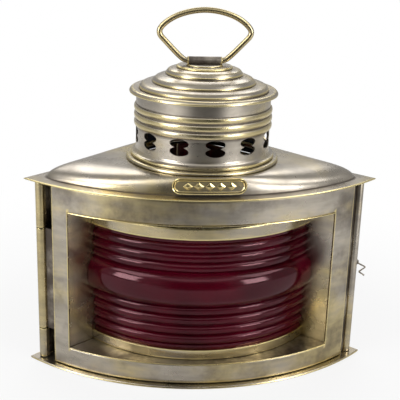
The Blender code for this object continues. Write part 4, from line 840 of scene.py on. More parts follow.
def vent_tree():
    """A tree that cuts a ring of vents, each two overlapping ovals, through the neck."""
    sizes = bpy.context.scene.lamp_chimney
    tree, given = start_tree("Ring of vents", (
        ("Neck", "Geometry", None), ("Vents", "Int", sizes.vent_count), ("Turn", "Float", sizes.vent_phase),
        ("Oval width", "Float", sizes.vent_width), ("Oval height", "Float", sizes.vent_lobe),
        ("Oval spacing", "Float", sizes.vent_spacing),
        ("Ring radius", "Float", (sizes.neck_radius + sizes.neck_bore) / 2), ("Ring height", "Float", 0.1692),
        ("Centre Y", "Float", CHIMNEY_Y), ("Brass", "Material", None),
    ))
    do = partial(calc, tree)
    tools = []
    for side in (-0.5, 0.5):
        oval = add(tree, "GeometryNodeMeshCylinder", {"Vertices": 40, "Radius": 0.5, "Depth": 0.008})
        size = vector(tree, X=given["Oval width"], Y=given["Oval height"], Z=1.0)
        oval = moved(tree, oval.outputs["Mesh"], Scale=size)
        oval = moved(tree, oval, Rotation=(math.pi / 2, 0.0, math.pi / 2))
        ring_inputs = {"Vertices": given["Vents"], "Radius": given["Ring radius"]}
        points = add(tree, "GeometryNodeMeshCircle", ring_inputs)
        index = add(tree, "GeometryNodeInputIndex").outputs[0]
        angle = do("DIVIDE", do("MULTIPLY", index, math.tau), given["Vents"])
        ring = repeated(tree, points.outputs["Mesh"], oval, vector(tree, Z=angle))
        height = do("ADD", given["Ring height"], do("MULTIPLY", given["Oval spacing"], side))
        place = vector(tree, Y=given["Centre Y"], Z=height)
        tools.append(moved(tree, ring, Translation=place, Rotation=vector(tree, Z=given["Turn"])))
    return end_tree(tree, cut_out(tree, given["Neck"], tools), given["Brass"])


NECK_BEADS = 3
BEAD_LOWEST = 0.1776
BEAD_PITCH = 0.00535
BEAD_WIDTH = 0.0046
BEAD_STEPS = 10
BEAD_FULLNESS = 0.8
NECK_ROW = 0.0020
FLARE_RISE = 0.0034
FLARE_EDGE = 0.0018
FLARE_STEPS = 8
STRAIGHT_FOOT = 0.0065
CREST_SHARE = 0.75
CREST_WEAR = 0.75
COLLAR_SLOPE = 0.66
COLLAR_EDGE = 0.16


class LAMP_OT_neck(bpy.types.Operator):
    """Builds the chimney's collar and its neck, with beads, a flared foot and a ring of vents"""

    bl_idname = "lamp.neck"
    bl_label = "Chimney neck"

    def execute(self, context):
        sizes = context.scene.lamp_chimney
        profile = self.neck_profile(sizes)
        shell = turned_mesh("neck", profile, ROUND_STEPS, (0.0, CHIMNEY_Y))
        mesh = grow("chimney_shell", shell, vent_tree(), {"Brass": finish("aged_brass")})
        set_up_piece("chimney_shell", mesh, "aged_brass", "body", ("chimney_neck",))
        low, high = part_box("chimney_collar")
        reach = (high.x - low.x) / 2
        rise = high.z - low.z
        ring = [
            (sizes.neck_bore, high.z), (reach - rise * COLLAR_SLOPE, high.z),
            (reach - rise * COLLAR_EDGE, high.z - rise * COLLAR_EDGE), (reach, high.z - rise * 0.5),
            (reach, low.z), (sizes.neck_bore, low.z),
        ]
        collar = turned_mesh("collar_ring", worn_profile(ring), ROUND_STEPS, (0.0, CHIMNEY_Y))
        set_up_piece("collar_ring", collar, "aged_brass", "body", ("chimney_collar",))
        return {"FINISHED"}

    def neck_profile(self, sizes):
        low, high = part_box("chimney_neck")
        flare = (high.x - low.x) / 2
        outside = sizes.neck_radius
        points = [(sizes.neck_bore, high.z), (outside, high.z)]
        for bead in reversed(range(NECK_BEADS)):
            middle = BEAD_LOWEST + bead * BEAD_PITCH
            for i in range(BEAD_STEPS + 1):
                angle = math.pi * i / BEAD_STEPS
                full = math.sin(angle) ** BEAD_FULLNESS if 0 < i < BEAD_STEPS else 0.0
                rise = full * sizes.bead_rise
                points.append((outside + rise, middle + math.cos(angle) * BEAD_WIDTH / 2))
        height = BEAD_LOWEST - BEAD_WIDTH / 2 - NECK_ROW
        while height > low.z + STRAIGHT_FOOT:
            points.append((outside, height))
            height -= NECK_ROW
        for i in range(FLARE_STEPS + 1):
            angle = math.pi / 2 * i / FLARE_STEPS
            points.append((outside + (flare - outside) * (1 - math.cos(angle)),
                           low.z + FLARE_EDGE + FLARE_RISE * (1 - math.sin(angle))))
        points += [(flare, low.z), (sizes.neck_bore, low.z)]
        crest = outside + sizes.bead_rise * CREST_SHARE
        shaded = []
        for radius, height, wear in worn_profile(points, radius=0.0004, guard=0.0008):
            # The bore gets soot and painted shade
            if radius < sizes.neck_bore + PROUD:
                wear = -1.0
            elif crest < radius < flare - 0.001 and height > BEAD_LOWEST - BEAD_WIDTH:
                wear = CREST_WEAR
            shaded.append((radius, height, wear))
        return shaded


# Half of the handle's loop, as shares of its half width and its rise
HANDLE_BENDS = (
    (0.16, 0.0), (0.32, 0.0), (0.40, 0.006), (0.47, 0.03), (0.53, 0.072), (0.60, 0.13), (0.70, 0.22),
    (0.80, 0.315), (0.90, 0.41), (0.96, 0.47), (0.995, 0.53), (0.995, 0.60), (0.955, 0.665), (0.88, 0.735),
    (0.77, 0.81), (0.64, 0.875), (0.50, 0.925), (0.34, 0.965), (0.17, 0.99), (0.0, 1.0),
)
HANDLE_WIDEST = 0.995
FERRULE_HALF = 0.0120
FERRULE_GAP = 0.0003
PAD_THICKNESS = 0.0008
PAD_STEPS = 64
PAD_EDGE_RUN = 0.0012
PAD_EDGE_HEIGHT = 0.0003
HANDLE_STEPS = 4
HANDLE_SIDES = 6


class LAMP_OT_handle(bpy.types.Operator):
    """Builds the folding wire handle and the ferrule that it turns in"""

    bl_idname = "lamp.handle"
    bl_label = "Handle"

    def execute(self, context):
        wire = context.scene.lamp_chimney.handle_wire
        low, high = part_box("handle")
        axis_z = low.z + wire
        wide = (high.x - wire) / HANDLE_WIDEST
        tall = high.z - low.z - 2 * wire
        half = [Vector((x * wide, CHIMNEY_Y, axis_z + z * tall)) for x, z in HANDLE_BENDS]
        route = half + [Vector((-p.x, p.y, p.z)) for p in reversed(half[:-1])]
        mesh = wire_mesh("handle_loop", through(route, HANDLE_STEPS), wire, HANDLE_SIDES)
        set_up_piece("handle_loop", mesh, "warm_brass", "handle", ("handle",))
        low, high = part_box("handle_ferrule")
        pad = (high.x - low.x) / 2
        disc = [
            (0.0, low.z + PAD_THICKNESS), (pad - PAD_EDGE_RUN, low.z + PAD_THICKNESS),
            (pad, low.z + PAD_EDGE_HEIGHT), (pad, low.z), (0.0, low.z),
        ]
        profile = worn_profile(disc, radius=0.0003)
        mesh = turned_mesh("ferrule_pad", profile, PAD_STEPS, (0.0, CHIMNEY_Y), closed=False)
        set_up_piece("ferrule_pad", mesh, "aged_brass", "body")
        outside, inside = high.z - axis_z, wire + FERRULE_GAP
        tube = [(outside, -FERRULE_HALF), (outside, FERRULE_HALF)]
        tube += [(inside, FERRULE_HALF), (inside, -FERRULE_HALF)]
        mesh = turned_mesh("ferrule_tube", worn_profile(tube, radius=0.0003), SMALL_STEPS, (0.0, 0.0))
        mesh.transform(Matrix.Translation((0.0, CHIMNEY_Y, axis_z)) @ Matrix.Rotation(math.pi / 2, 4, "Y"))
        set_up_piece("ferrule_tube", mesh, "shadow_brass", "body", ("handle_ferrule",))
        return {"FINISHED"}


def between(start, end, steps):
    """Even places from a start up to but not including an end."""
    return [start + (end - start) * i / steps for i in range(steps)]


DOOR_FOLD = 0.0010
WINDOW_MARGIN = 0.0014
HEM_WIRE = 0.00050
HEM_CORNER = 0.0010
HEM_OUT = 0.0001
HEM_STEPS = (48, 16)
HEM_SIDES = 10
HEM_WEAR = 0.7
TURNED_EDGE_MIDDLE = 0.0035
WINDOW_STEPS = (60, 24)
BEAD_TOP_STEPS = 6
BEAD_TOP_DROP = 0.0016


def panel_lines(folds, scale, start, end, opening, steps, opening_wear):
    """Lines across a folded panel, as (depth, place, wear), and the numbers of its opening's two edges."""
    margin = WINDOW_MARGIN / scale
    first_edge, last_edge = opening
    lines = [(depth, start + along / scale, wear) for depth, along, wear in folds]
    lines += [(0.0, place, 0.0) for place in between(lines[-1][1], first_edge - margin, 4)[1:]]
    lines.append((0.0, first_edge - margin, 0.0))
    first = len(lines)
    lines += [(0.0, place, 0.0) for place in between(first_edge, last_edge, steps)]
    last = len(lines)
    lines += [(0.0, last_edge, opening_wear), (0.0, last_edge + margin, 0.0)]
    lines[first] = (0.0, first_edge, opening_wear)
    lines += [(0.0, place, 0.0) for place in between(lines[-1][1], end - folds[-1][1] / scale, 5)[1:]]
    lines += [(depth, end - along / scale, wear) for depth, along, wear in reversed(folds)]
    return lines, first, last


class LAMP_OT_door(bpy.types.Operator):
    """Builds the curved door with its turned edges, the hem of its window and its wired right edge"""

    bl_idname = "lamp.door"
    bl_label = "Door"

    def execute(self, context):
        sizes = context.scene.lamp_plan
        self.make_panel(sizes)
        self.make_hem(sizes)
        self.make_bead(sizes)
        return {"FINISHED"}

    def make_panel(self, sizes):
        low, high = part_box("door_panel")
        radius = sizes.door_radius
        folds = (
            (sizes.door_depth, 0.0, 0.0), (TURNED_EDGE_MIDDLE, 0.0, 0.0), (DOOR_FOLD, 0.0, 0.2),
            (DOOR_FOLD * 0.3, DOOR_FOLD * 0.3, 1.0), (0.0, DOOR_FOLD, 0.8), (0.0, DOOR_FOLD * 2.4, 0.0),
        )
        window, steps = (WINDOW_LEFT, WINDOW_RIGHT), WINDOW_STEPS[0]
        columns, first_open, last_open = panel_lines(folds, radius, DOOR_LEFT, DOOR_RIGHT, window, steps, 1.0)
        window, steps = (WINDOW_LOW, WINDOW_HIGH), WINDOW_STEPS[1]
        rows, first_row, last_row = panel_lines(folds, 1.0, low.z, high.z, window, steps, 0.0)
        shape = bmesh.new()
        layer = shape.verts.layers.float.new("wear")
        folded = len(folds)
        bent = folded - 3
        flat_columns = range(bent, len(columns) - bent)
        flat_rows = range(bent, len(rows) - bent)
        grid = {}
        for i, (depth_a, angle, wear_a) in enumerate(columns):
            at_fold = not folded <= i < len(columns) - folded
            for j, (depth_b, z, wear_b) in enumerate(rows):
                if i not in flat_columns and j not in flat_rows:
                    continue
                corner = shape.verts.new((*polar(radius - max(depth_a, depth_b), angle), z))
                beside_window = first_row - 1 <= j <= last_row + 1
                corner[layer] = max(wear_a if at_fold or beside_window else 0.0, wear_b)
                grid[i, j] = corner
        for i in range(len(columns) - 1):
            for j in range(len(rows) - 1):
                if first_open <= i < last_open and first_row <= j < last_row:
                    continue
                corners = [grid.get(key) for key in ((i, j), (i + 1, j), (i + 1, j + 1), (i, j + 1))]
                if None not in corners:
                    shape.faces.new(corners)
        mesh = close_shape("door_skin", shape)
        face_outwards(mesh, lambda middle: Vector((middle.x, middle.y - APEX_Y, 0.0)))
        panel = set_up_piece("door_skin", mesh, "door_brass", "door", ("door_panel",))
        thicken(panel, sizes.sheet)

    def make_hem(self, sizes):
        radius = sizes.door_radius + HEM_OUT
        across = HEM_CORNER / radius
        corners = (
            (WINDOW_LEFT, WINDOW_LOW, 1, 1), (WINDOW_RIGHT, WINDOW_LOW, -1, 1),
            (WINDOW_RIGHT, WINDOW_HIGH, -1, -1), (WINDOW_LEFT, WINDOW_HIGH, 1, -1),
        )
        route = []
        for k, (angle, z, way, up) in enumerate(corners):
            upright = k % 2
            steps = HEM_STEPS[upright]
            next_angle, next_z, next_way, next_up = corners[(k + 1) % 4]
            shift = (0.0, HEM_CORNER) if upright else (across, 0.0)
            start = (angle + way * shift[0], z + up * shift[1])
            end = (next_angle + next_way * shift[0], next_z + next_up * shift[1])
            route += list(zip(between(start[0], end[0], steps), between(start[1], end[1], steps)))
            route += [end, (next_angle + next_way * across * 0.3, next_z + next_up * HEM_CORNER * 0.3)]
        places = [Vector((*polar(radius, angle), z)) for angle, z in route]
        stations = []
        for i, (angle, z) in enumerate(route):
            along = (places[(i + 1) % len(places)] - places[i - 1]).normalized()
            out = Vector((*polar(1.0, angle, 0.0), 0.0))
            stations.append((places[i], out, along.cross(out).normalized()))
        mesh = closed_wire("window_hem", stations, HEM_WIRE, HEM_SIDES, HEM_WEAR)
        set_up_piece("window_hem", mesh, "warm_brass", "door")

    def make_bead(self, sizes):
        low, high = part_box("door_bead")
        radius = sizes.bead_radius + PROUD
        profile = [(0.0, high.z, 0.0)]
        for i in range(1, BEAD_TOP_STEPS + 1):
            angle = math.pi / 2 * i / BEAD_TOP_STEPS
            drop = BEAD_TOP_DROP * (1 - math.cos(angle))
            profile.append((radius * math.sin(angle), high.z - drop, 0.0))
        profile += [(radius, low.z, 0.0), (0.0, low.z, 0.0)]
        place = wall_point(1, POST_RUN, -POST_INSET)
        mesh = turned_mesh("door_edge_bead", profile, SMALL_STEPS, place, closed=False)
        set_up_piece("door_edge_bead", mesh, "aged_brass", "door")


KNUCKLE_BORE = 0.0017
KNUCKLE_GAP = 0.0006


class LAMP_OT_hinge(bpy.types.Operator):
    """Builds the three hinge knuckles at the left corner"""

    bl_idname = "lamp.hinge"
    bl_label = "Hinge"

    def execute(self, context):
        reach = context.scene.lamp_plan.knuckle_radius + PROUD
        door_low, door_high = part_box("hinge_leaf_door")
        body_low, body_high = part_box("hinge_leaf_body")
        for name, low, high, body in (
            ("knuckle_lower", body_low.z, door_low.z - KNUCKLE_GAP, "body"),
            ("knuckle_middle", door_low.z, door_high.z, "door"),
            ("knuckle_upper", door_high.z + KNUCKLE_GAP, body_high.z, "body"),
        ):
            ring = [(reach, low), (reach, high), (KNUCKLE_BORE, high), (KNUCKLE_BORE, low)]
            place = wall_point(-1, POST_RUN, -POST_INSET)
            mesh = turned_mesh(name, worn_profile(ring, radius=0.0003), SMALL_STEPS, place)
            set_up_piece(name, mesh, "warm_brass", body)
        return {"FINISHED"}


SECTION_INPUTS = (
    "Step", "Steps", "Crest radius", "Bore", "Tongue radius", "Belt half height", "Belt bulge", "Prism pitch",
    "Prism depth", "Prism lean", "Prisms above", "Prisms below", "Middle", "Low", "High",
)
CREST_POWER = 2.6
BELT_POWER = 2.3


def lens_rule_group():
    """The lens's cross-section as a rule: for a step along it, the radius and the height."""
    group = bpy.data.node_groups.new("Ribbed lens section", "GeometryNodeTree")
    for label in SECTION_INPUTS:
        group.interface.new_socket(label, in_out="INPUT", socket_type="NodeSocketFloat")
    for label in ("Radius", "Height"):
        group.interface.new_socket(label, in_out="OUTPUT", socket_type="NodeSocketFloat")
    given = add(group, "NodeGroupInput").outputs
    do = partial(calc, group)

    def choose(flag, chosen, other):
        return do("ADD", do("MULTIPLY", flag, chosen), do("MULTIPLY", do("SUBTRACT", 1.0, flag), other))

    share = do("MINIMUM", do("DIVIDE", given["Step"], do("SUBTRACT", given["Steps"], 1.0)), 1.0)
    inner = do("GREATER_THAN", given["Step"], do("SUBTRACT", given["Steps"], 0.5))
    top_again = do("GREATER_THAN", given["Step"], do("ADD", given["Steps"], 0.5))
    span = do("SUBTRACT", given["High"], given["Low"])
    down = do("SUBTRACT", given["High"], do("MULTIPLY", share, span))
    height = do("ADD", down, do("MULTIPLY", top_again, span))
    from_middle = do("SUBTRACT", down, given["Middle"])
    away = do("ABSOLUTE", from_middle)
    prisms = choose(do("GREATER_THAN", from_middle, 0.0), given["Prisms above"], given["Prisms below"])
    rows = do("DIVIDE", do("SUBTRACT", away, given["Belt half height"]), given["Prism pitch"])
    lean = do("POWER", do("FRACT", do("MAXIMUM", rows, 0.0)), given["Prism lean"])
    swing = do("ABSOLUTE", do("SUBTRACT", do("MULTIPLY", lean, 2.0), 1.0))
    crest = do("SUBTRACT", 1.0, do("POWER", swing, CREST_POWER))
    valley = do("SUBTRACT", given["Crest radius"], given["Prism depth"])
    prism_radius = do("ADD", valley, do("MULTIPLY", crest, given["Prism depth"]))
    ratio = do("MINIMUM", do("DIVIDE", away, given["Belt half height"]), 1.0)
    arch = do("SQRT", do("MAXIMUM", do("SUBTRACT", 1.0, do("POWER", ratio, BELT_POWER)), 0.0))
    swell = do("ADD", given["Belt bulge"], given["Prism depth"])
    belt_radius = do("ADD", valley, do("MULTIPLY", arch, swell))
    shaped = choose(do("LESS_THAN", rows, 0.0), belt_radius, prism_radius)
    outer = choose(do("GREATER_THAN", rows, prisms), given["Tongue radius"], shaped)
    add(group, "NodeGroupOutput", {"Radius": choose(inner, given["Bore"], outer), "Height": height})
    return group


LENS_ROWS = 330
LENS_COLUMNS = 64


def lens_tree():
    """A tree that sweeps the lens's section round its centre and closes both ends."""
    sizes = bpy.context.scene.lamp_lens
    low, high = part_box("lens")
    section_inputs = {
        "Crest radius": sizes.radius, "Bore": sizes.bore, "Tongue radius": 0.1000,
        "Belt half height": sizes.belt_half, "Belt bulge": sizes.bulge, "Prism pitch": sizes.pitch,
        "Prism depth": sizes.depth, "Prism lean": 0.85, "Prisms above": float(sizes.prisms_above),
        "Prisms below": float(sizes.prisms_below), "Middle": sizes.middle, "Low": low.z, "High": high.z,
    }
    plan_inputs = {"Half angle": sizes.half_angle, "Centre Y": LENS_CENTRE_Y}
    tree, given = start_tree("Ribbed lens", (
        ("Source", "Geometry", None),
        *((label, "Float", default) for label, default in {**section_inputs, **plan_inputs}.items()),
        ("Glass", "Material", None),
    ))
    do = partial(calc, tree)
    rule = lens_rule_group()
    whole = add(tree, "GeometryNodeJoinGeometry")

    def join(source, step, angle):
        inputs = {label: given[label] for label in section_inputs}
        inputs.update({"Step": step, "Steps": float(LENS_ROWS)})
        section = add(tree, "GeometryNodeGroup", inputs, node_tree=rule).outputs
        part = placed_by(tree, source, section["Radius"], angle, given["Centre Y"], section["Height"])
        put(tree, whole.inputs[0], part)

    grid = add(tree, "GeometryNodeMeshGrid", {
        "Size X": 1.0, "Size Y": 1.0, "Vertices X": LENS_COLUMNS + 1, "Vertices Y": LENS_ROWS + 3,
    })
    spot = add(tree, "ShaderNodeSeparateXYZ", {0: add(tree, "GeometryNodeInputPosition").outputs[0]})
    count = do("ROUND", do("MULTIPLY", do("ADD", spot.outputs["Y"], 0.5), LENS_ROWS + 2.0))
    angle = do("MULTIPLY", do("MULTIPLY", spot.outputs["X"], 2.0), given["Half angle"])
    join(grid.outputs["Mesh"], do("MODULO", count, LENS_ROWS + 2.0), angle)
    for side in (-1.0, 1.0):
        end = add(tree, "GeometryNodeMeshCircle", {"Vertices": LENS_ROWS + 2}, fill_type="NGON")
        index = add(tree, "GeometryNodeInputIndex").outputs[0]
        join(end.outputs["Mesh"], index, do("MULTIPLY", given["Half angle"], side))
    weld = add(tree, "GeometryNodeMergeByDistance", {"Geometry": whole.outputs[0], "Distance": WELD})
    return end_tree(tree, weld.outputs[0], given["Glass"])


class LAMP_OT_lens(bpy.types.Operator):
    """Builds the ribbed red lens from its rule"""

    bl_idname = "lamp.lens"
    bl_label = "Lens"

    def execute(self, context):
        empty = bpy.data.meshes.new("lens_seed")
        mesh = grow("lens_glass", empty, lens_tree(), {"Glass": finish("deep_ruby")})
        set_up_piece("lens_glass", mesh, "deep_ruby", "door", ("lens",))
        return {"FINISHED"}


BAND_OUTER = 0.1022
BAND_INNER = 0.0938
BAND_LIP = 0.1003
BAND_FLOOR = 0.0033
BAND_CLEARANCE = 0.0003
BAND_STEPS = 64


class LAMP_OT_lens_bands(bpy.types.Operator):
    """Builds the two channels that hold the lens"""

    bl_idname = "lamp.lens_bands"
    bl_label = "Lens bands"

    def execute(self, context):
        sizes = context.scene.lamp_lens
        bore = sizes.bore - BAND_CLEARANCE
        for name, upward in (("band_lower", -1), ("band_upper", 1)):
            node = "lens_" + name
            low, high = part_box(node)
            mouth, back = (low.z, high.z) if upward > 0 else (high.z, low.z)
            floor = mouth + upward * BAND_FLOOR
            profile = worn_profile([
                (BAND_OUTER, mouth), (BAND_OUTER, back), (BAND_INNER, back), (BAND_INNER, mouth),
                (bore, mouth), (bore, floor), (BAND_LIP, floor), (BAND_LIP, mouth),
            ], radius=0.0004)
            mesh = swept_mesh(name, profile, sizes.half_angle, BAND_STEPS, LENS_CENTRE_Y)
            set_up_piece(name, mesh, "warm_brass", "door", (node,))
        return {"FINISHED"}


def row_inputs(label, count, *sizes):
    """The inputs of a tree that makes a row of things between two points of a wall."""
    return (
        (label, "Int", count), ("First", "Vector", None), ("Last", "Vector", None), ("Turn", "Vector", None),
        *((size, "Float", default) for size, default in sizes), ("Brass", "Material", None),
    )


def row_points(tree, given, label):
    """A row of points from the first to the last."""
    inputs = {"Count": given[label], "Start Location": given["First"], "Offset": given["Last"]}
    return add(tree, "GeometryNodeMeshLine", inputs, mode="END_POINTS", count_mode="TOTAL").outputs["Mesh"]


def hole_tree():
    """A tree that bores a row of round holes through a wall."""
    tree, given = start_tree("Row of air holes", (
        ("Wall", "Geometry", None), *row_inputs("Holes", 5, ("Hole radius", 0.0028)),
    ))
    bore = {"Vertices": 28, "Radius": given["Hole radius"], "Depth": 0.006}
    drill = add(tree, "GeometryNodeMeshCylinder", bore).outputs["Mesh"]
    drill = moved(tree, drill, Rotation=(math.pi / 2, 0.0, 0.0))
    drills = repeated(tree, row_points(tree, given, "Holes"), drill, given["Turn"])
    return end_tree(tree, cut_out(tree, given["Wall"], [drills]), given["Brass"])


def rivet_tree():
    """A tree that sets a row of domed rivets between two points of a wall."""
    tree, given = start_tree("Row of rivets", (
        ("Source", "Geometry", None),
        *row_inputs("Rivets", 4, ("Head radius", 0.0016), ("Head height", 0.0008)),
    ))
    ball = add(tree, "GeometryNodeMeshUVSphere", {"Segments": 20, "Rings": 12, "Radius": 1.0})
    size = vector(tree, X=given["Head radius"], Y=given["Head height"], Z=given["Head radius"])
    head = moved(tree, ball.outputs["Mesh"], Scale=size)
    rivets = repeated(tree, row_points(tree, given, "Rivets"), head, given["Turn"])
    return end_tree(tree, rivets, given["Brass"])


WALL_COLUMNS = 40
WALL_ROWS = 28
WALL_GAP = 0.0003
HOLES_MIDDLE = 0.0840
HOLES_REACH = 0.0240
HOLES_HEIGHT = 0.0120
SEAM_RADIUS = 0.0011
SEAM_SHIFT = 0.0019
SEAM_OUT = 0.0003
SEAM_GAP = 0.0005


class LAMP_OT_walls(bpy.types.Operator):
    """Builds the two side walls with their air holes and soldered rear seams"""

    bl_idname = "lamp.walls"
    bl_label = "Walls"

    def execute(self, context):
        sizes = context.scene.lamp_plan
        tree = hole_tree()
        rear = BRIM_REAR + WALL_INSET
        rear_half = rear_half_width(rear, WALL_INSET)
        for side, label, edge in ((-1, "left", sizes.knuckle_radius), (1, "right", sizes.bead_radius)):
            low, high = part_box(f"side_wall_{label}")
            front = Vector(wall_point(side, POST_RUN - edge - WALL_GAP, -WALL_INSET))
            back = Vector((side * rear_half, APEX_Y - rear))
            name = f"wall_{label}"
            wall = self.plain_wall(name + "_plain", side, front, back, low.z, high.z, sizes.sheet)
            depth = -WALL_INSET - sizes.sheet / 2
            mesh = grow(name, wall, tree, {
                "Holes": 5, "Brass": finish("side_brass"), "Turn": (0.0, 0.0, -side * SECTOR_HALF),
                "First": Vector((*wall_point(side, HOLES_MIDDLE - HOLES_REACH, depth), HOLES_HEIGHT)),
                "Last": Vector((*wall_point(side, HOLES_MIDDLE + HOLES_REACH, depth), HOLES_HEIGHT)),
            })
            set_up_piece(name, mesh, "side_brass", "body", (f"side_{name}",))
            x, y = side * (rear_half - SEAM_SHIFT), APEX_Y - rear + SEAM_OUT
            seam = [(x, y, low.z + SEAM_GAP), (x, y, high.z - SEAM_GAP)]
            mesh = wire_mesh(f"seam_{label}", seam, SEAM_RADIUS, 4)
            set_up_piece(f"seam_{label}", mesh, "shadow_brass", "body")
        return {"FINISHED"}

    def plain_wall(self, name, side, front, back, low, high, sheet):
        inward = Vector((-side * math.cos(SECTOR_HALF), -math.sin(SECTOR_HALF))) * sheet
        ring = [front.lerp(back, i / WALL_COLUMNS) for i in range(WALL_COLUMNS + 1)]
        ring += [back.lerp(front, i / WALL_COLUMNS) + inward for i in range(WALL_COLUMNS + 1)]
        ends = (0, WALL_COLUMNS, WALL_COLUMNS + 1, 2 * WALL_COLUMNS + 1)
        rows = []
        for j in range(WALL_ROWS + 1):
            z = low + (high - low) * j / WALL_ROWS
            at_edge = j in (0, WALL_ROWS)
            rows.append([((p.x, p.y, z), 0.8 if at_edge or i in ends else 0.0) for i, p in enumerate(ring)])
        shape = bmesh.new()
        rings = add_rings(shape, rows)
        last = 2 * WALL_COLUMNS + 1
        for ring in (rings[0], rings[-1]):
            for i in range(WALL_COLUMNS):
                shape.faces.new((ring[i], ring[i + 1], ring[last - 1 - i], ring[last - i]))
        return close_shape(name, shape)


RIM_WIRE = 0.00072
RIM_INSET = 0.00148
RIM_SINK = 0.6
RIM_REAR = 0.0008
RIM_STEPS = (90, 30, 6)
RIM_SIDES = 8
RIM_WEAR = 0.75


class LAMP_OT_base_rim(bpy.types.Operator):
    """Builds the rolled wire round the base plate's edge"""

    bl_idname = "lamp.base_rim"
    bl_label = "Base rim"

    def execute(self, context):
        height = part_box("base_plate")[1].z / 2
        radius = BRIM_RADIUS - RIM_INSET - RIM_WIRE * RIM_SINK
        outline = sector_outline(radius, 0.0, BRIM_REAR + RIM_REAR, *RIM_STEPS)
        stations = []
        for i, place in enumerate(outline):
            along = (outline[(i + 1) % len(outline)] - outline[i - 1]).normalized()
            out = Vector((along.y, -along.x, 0.0))
            stations.append((Vector((*place, height)), out, Vector((0.0, 0.0, 1.0))))
        mesh = closed_wire("base_rim", stations, RIM_WIRE, RIM_SIDES, RIM_WEAR)
        set_up_piece("base_rim", mesh, "warm_brass", "body")
        return {"FINISHED"}


RIVET_RUN = 0.1550
RIVET_MARGIN = 0.016


class LAMP_OT_rivets(bpy.types.Operator):
    """Builds the rows of rivets in the side walls"""

    bl_idname = "lamp.rivets"
    bl_label = "Rivets"

    def execute(self, context):
        tree = rivet_tree()
        low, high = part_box("side_wall_left")
        for side, name in ((-1, "rivets_left"), (1, "rivets_right")):
            x, y = wall_point(side, RIVET_RUN, -WALL_INSET)
            seed = bpy.data.meshes.new(name + "_seed")
            mesh = grow(name, seed, tree, {
                "Rivets": 4, "First": (x, y, low.z + RIVET_MARGIN), "Last": (x, y, high.z - RIVET_MARGIN),
                "Turn": (0.0, 0.0, -side * SECTOR_HALF), "Brass": finish("aged_brass"),
            })
            set_up_piece(name, mesh, "aged_brass", "body")
        return {"FINISHED"}


# The font's rounded shoulder and side, as shares of its radius and its height
FONT_SHARES = (
    (0.44, 0.94), (0.56, 0.90), (0.74, 0.87), (0.84, 0.84), (0.90, 0.80), (0.95, 0.75), (0.985, 0.68),
    (1.0, 0.60), (1.0, 0.05), (0.96, 0.0),
)
FONT_HEIGHT = 0.0300
FONT_FLOOR = 0.004
FONT_WELL = 0.0110
FONT_LIP = 0.015
FONT_NECK = 0.94
FONT_STEPS = 80
FILLER_X = -0.0255
FILLER_RADIUS = 0.0062
FILLER_TOP = 0.0310
FILLER_FOOT = 0.018


class LAMP_OT_oil_font(bpy.types.Operator):
    """Builds the oil font and its filler neck"""

    bl_idname = "lamp.oil_font"
    bl_label = "Oil font"

    def execute(self, context):
        low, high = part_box("oil_font")
        radius = (high.x - low.x) / 2
        top = low.z + FONT_HEIGHT
        floor = low.z + FONT_FLOOR
        points = [(0.0, floor), (FONT_WELL, floor), (FONT_WELL, top), (FONT_LIP, top)]
        points.append((FONT_LIP, low.z + FONT_HEIGHT * FONT_NECK))
        points += [(radius * share, low.z + FONT_HEIGHT * rise) for share, rise in FONT_SHARES]
        points.append((0.0, low.z))
        mesh = turned_mesh("font_tin", worn_profile(points), FONT_STEPS, (0.0, CHIMNEY_Y), closed=False)
        set_up_piece("font_tin", mesh, "aged_brass", "font", ("oil_font",))
        boss = [(0.0, FILLER_TOP), (FILLER_RADIUS, FILLER_TOP)]
        boss += [(FILLER_RADIUS, FILLER_FOOT), (0.0, FILLER_FOOT)]
        place = (FILLER_X, CHIMNEY_Y)
        mesh = turned_mesh("filler_neck", worn_profile(boss), SMALL_STEPS, place, closed=False)
        set_up_piece("filler_neck", mesh, "aged_brass", "font")
        return {"FINISHED"}


# Pieces of the frame that stay visible, by finish
KEPT_NODES = {
    "aged_brass": ("base_plate", "back_strip", "font_ring", "burner_collar", "wick_tube"),
    "warm_brass": ("reveal_left", "reveal_right", "burner_cone", "filler_cap", "wick_knob"),
    "door_brass": ("window_head",),
    # The dim finish paints shade on the sill inside the window and darkens the latch hook
    "dim_shaded_brass": ("window_sill", "latch_hook"),
    "shadow_brass": ("door_stop_left", "door_stop_right", "hinge_leaf_door", "hinge_leaf_body", "door_bead"),
    "drawn_steel": ("hinge_pin", "latch_pivot", "latch_peg", "wick_shaft"),
    "woven_wick": ("wick",),
}


class LAMP_OT_frame_finishes(bpy.types.Operator):
    """Gives the frame's own visible pieces their finishes"""

    bl_idname = "lamp.frame_finishes"
    bl_label = "Frame finishes"

    def execute(self, context):
        for look, names in KEPT_NODES.items():
            for name in names:
                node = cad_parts[name]
                if node.material_slots:
                    node.material_slots[0].material = finish(look)
                else:
                    node.data.materials.append(finish(look))
        return {"FINISHED"}


# Camera fitted to the lamp's outline: yaw, pitch and roll in degrees, metres, and focus in image widths
CAMERA_TURNS = (5.936, 18.067, -1.758)
CAMERA_DISTANCE = 0.63808
CAMERA_FOCUS = 875.05 / 400.0
CAMERA_AIM = (-0.000329, APEX_Y - 0.110955, 0.118718)
SENSOR_WIDTH = 36.0
FLOOR_HALF = 3.0
LIGHT_TARGET = (0.0, 0.0, 0.12)
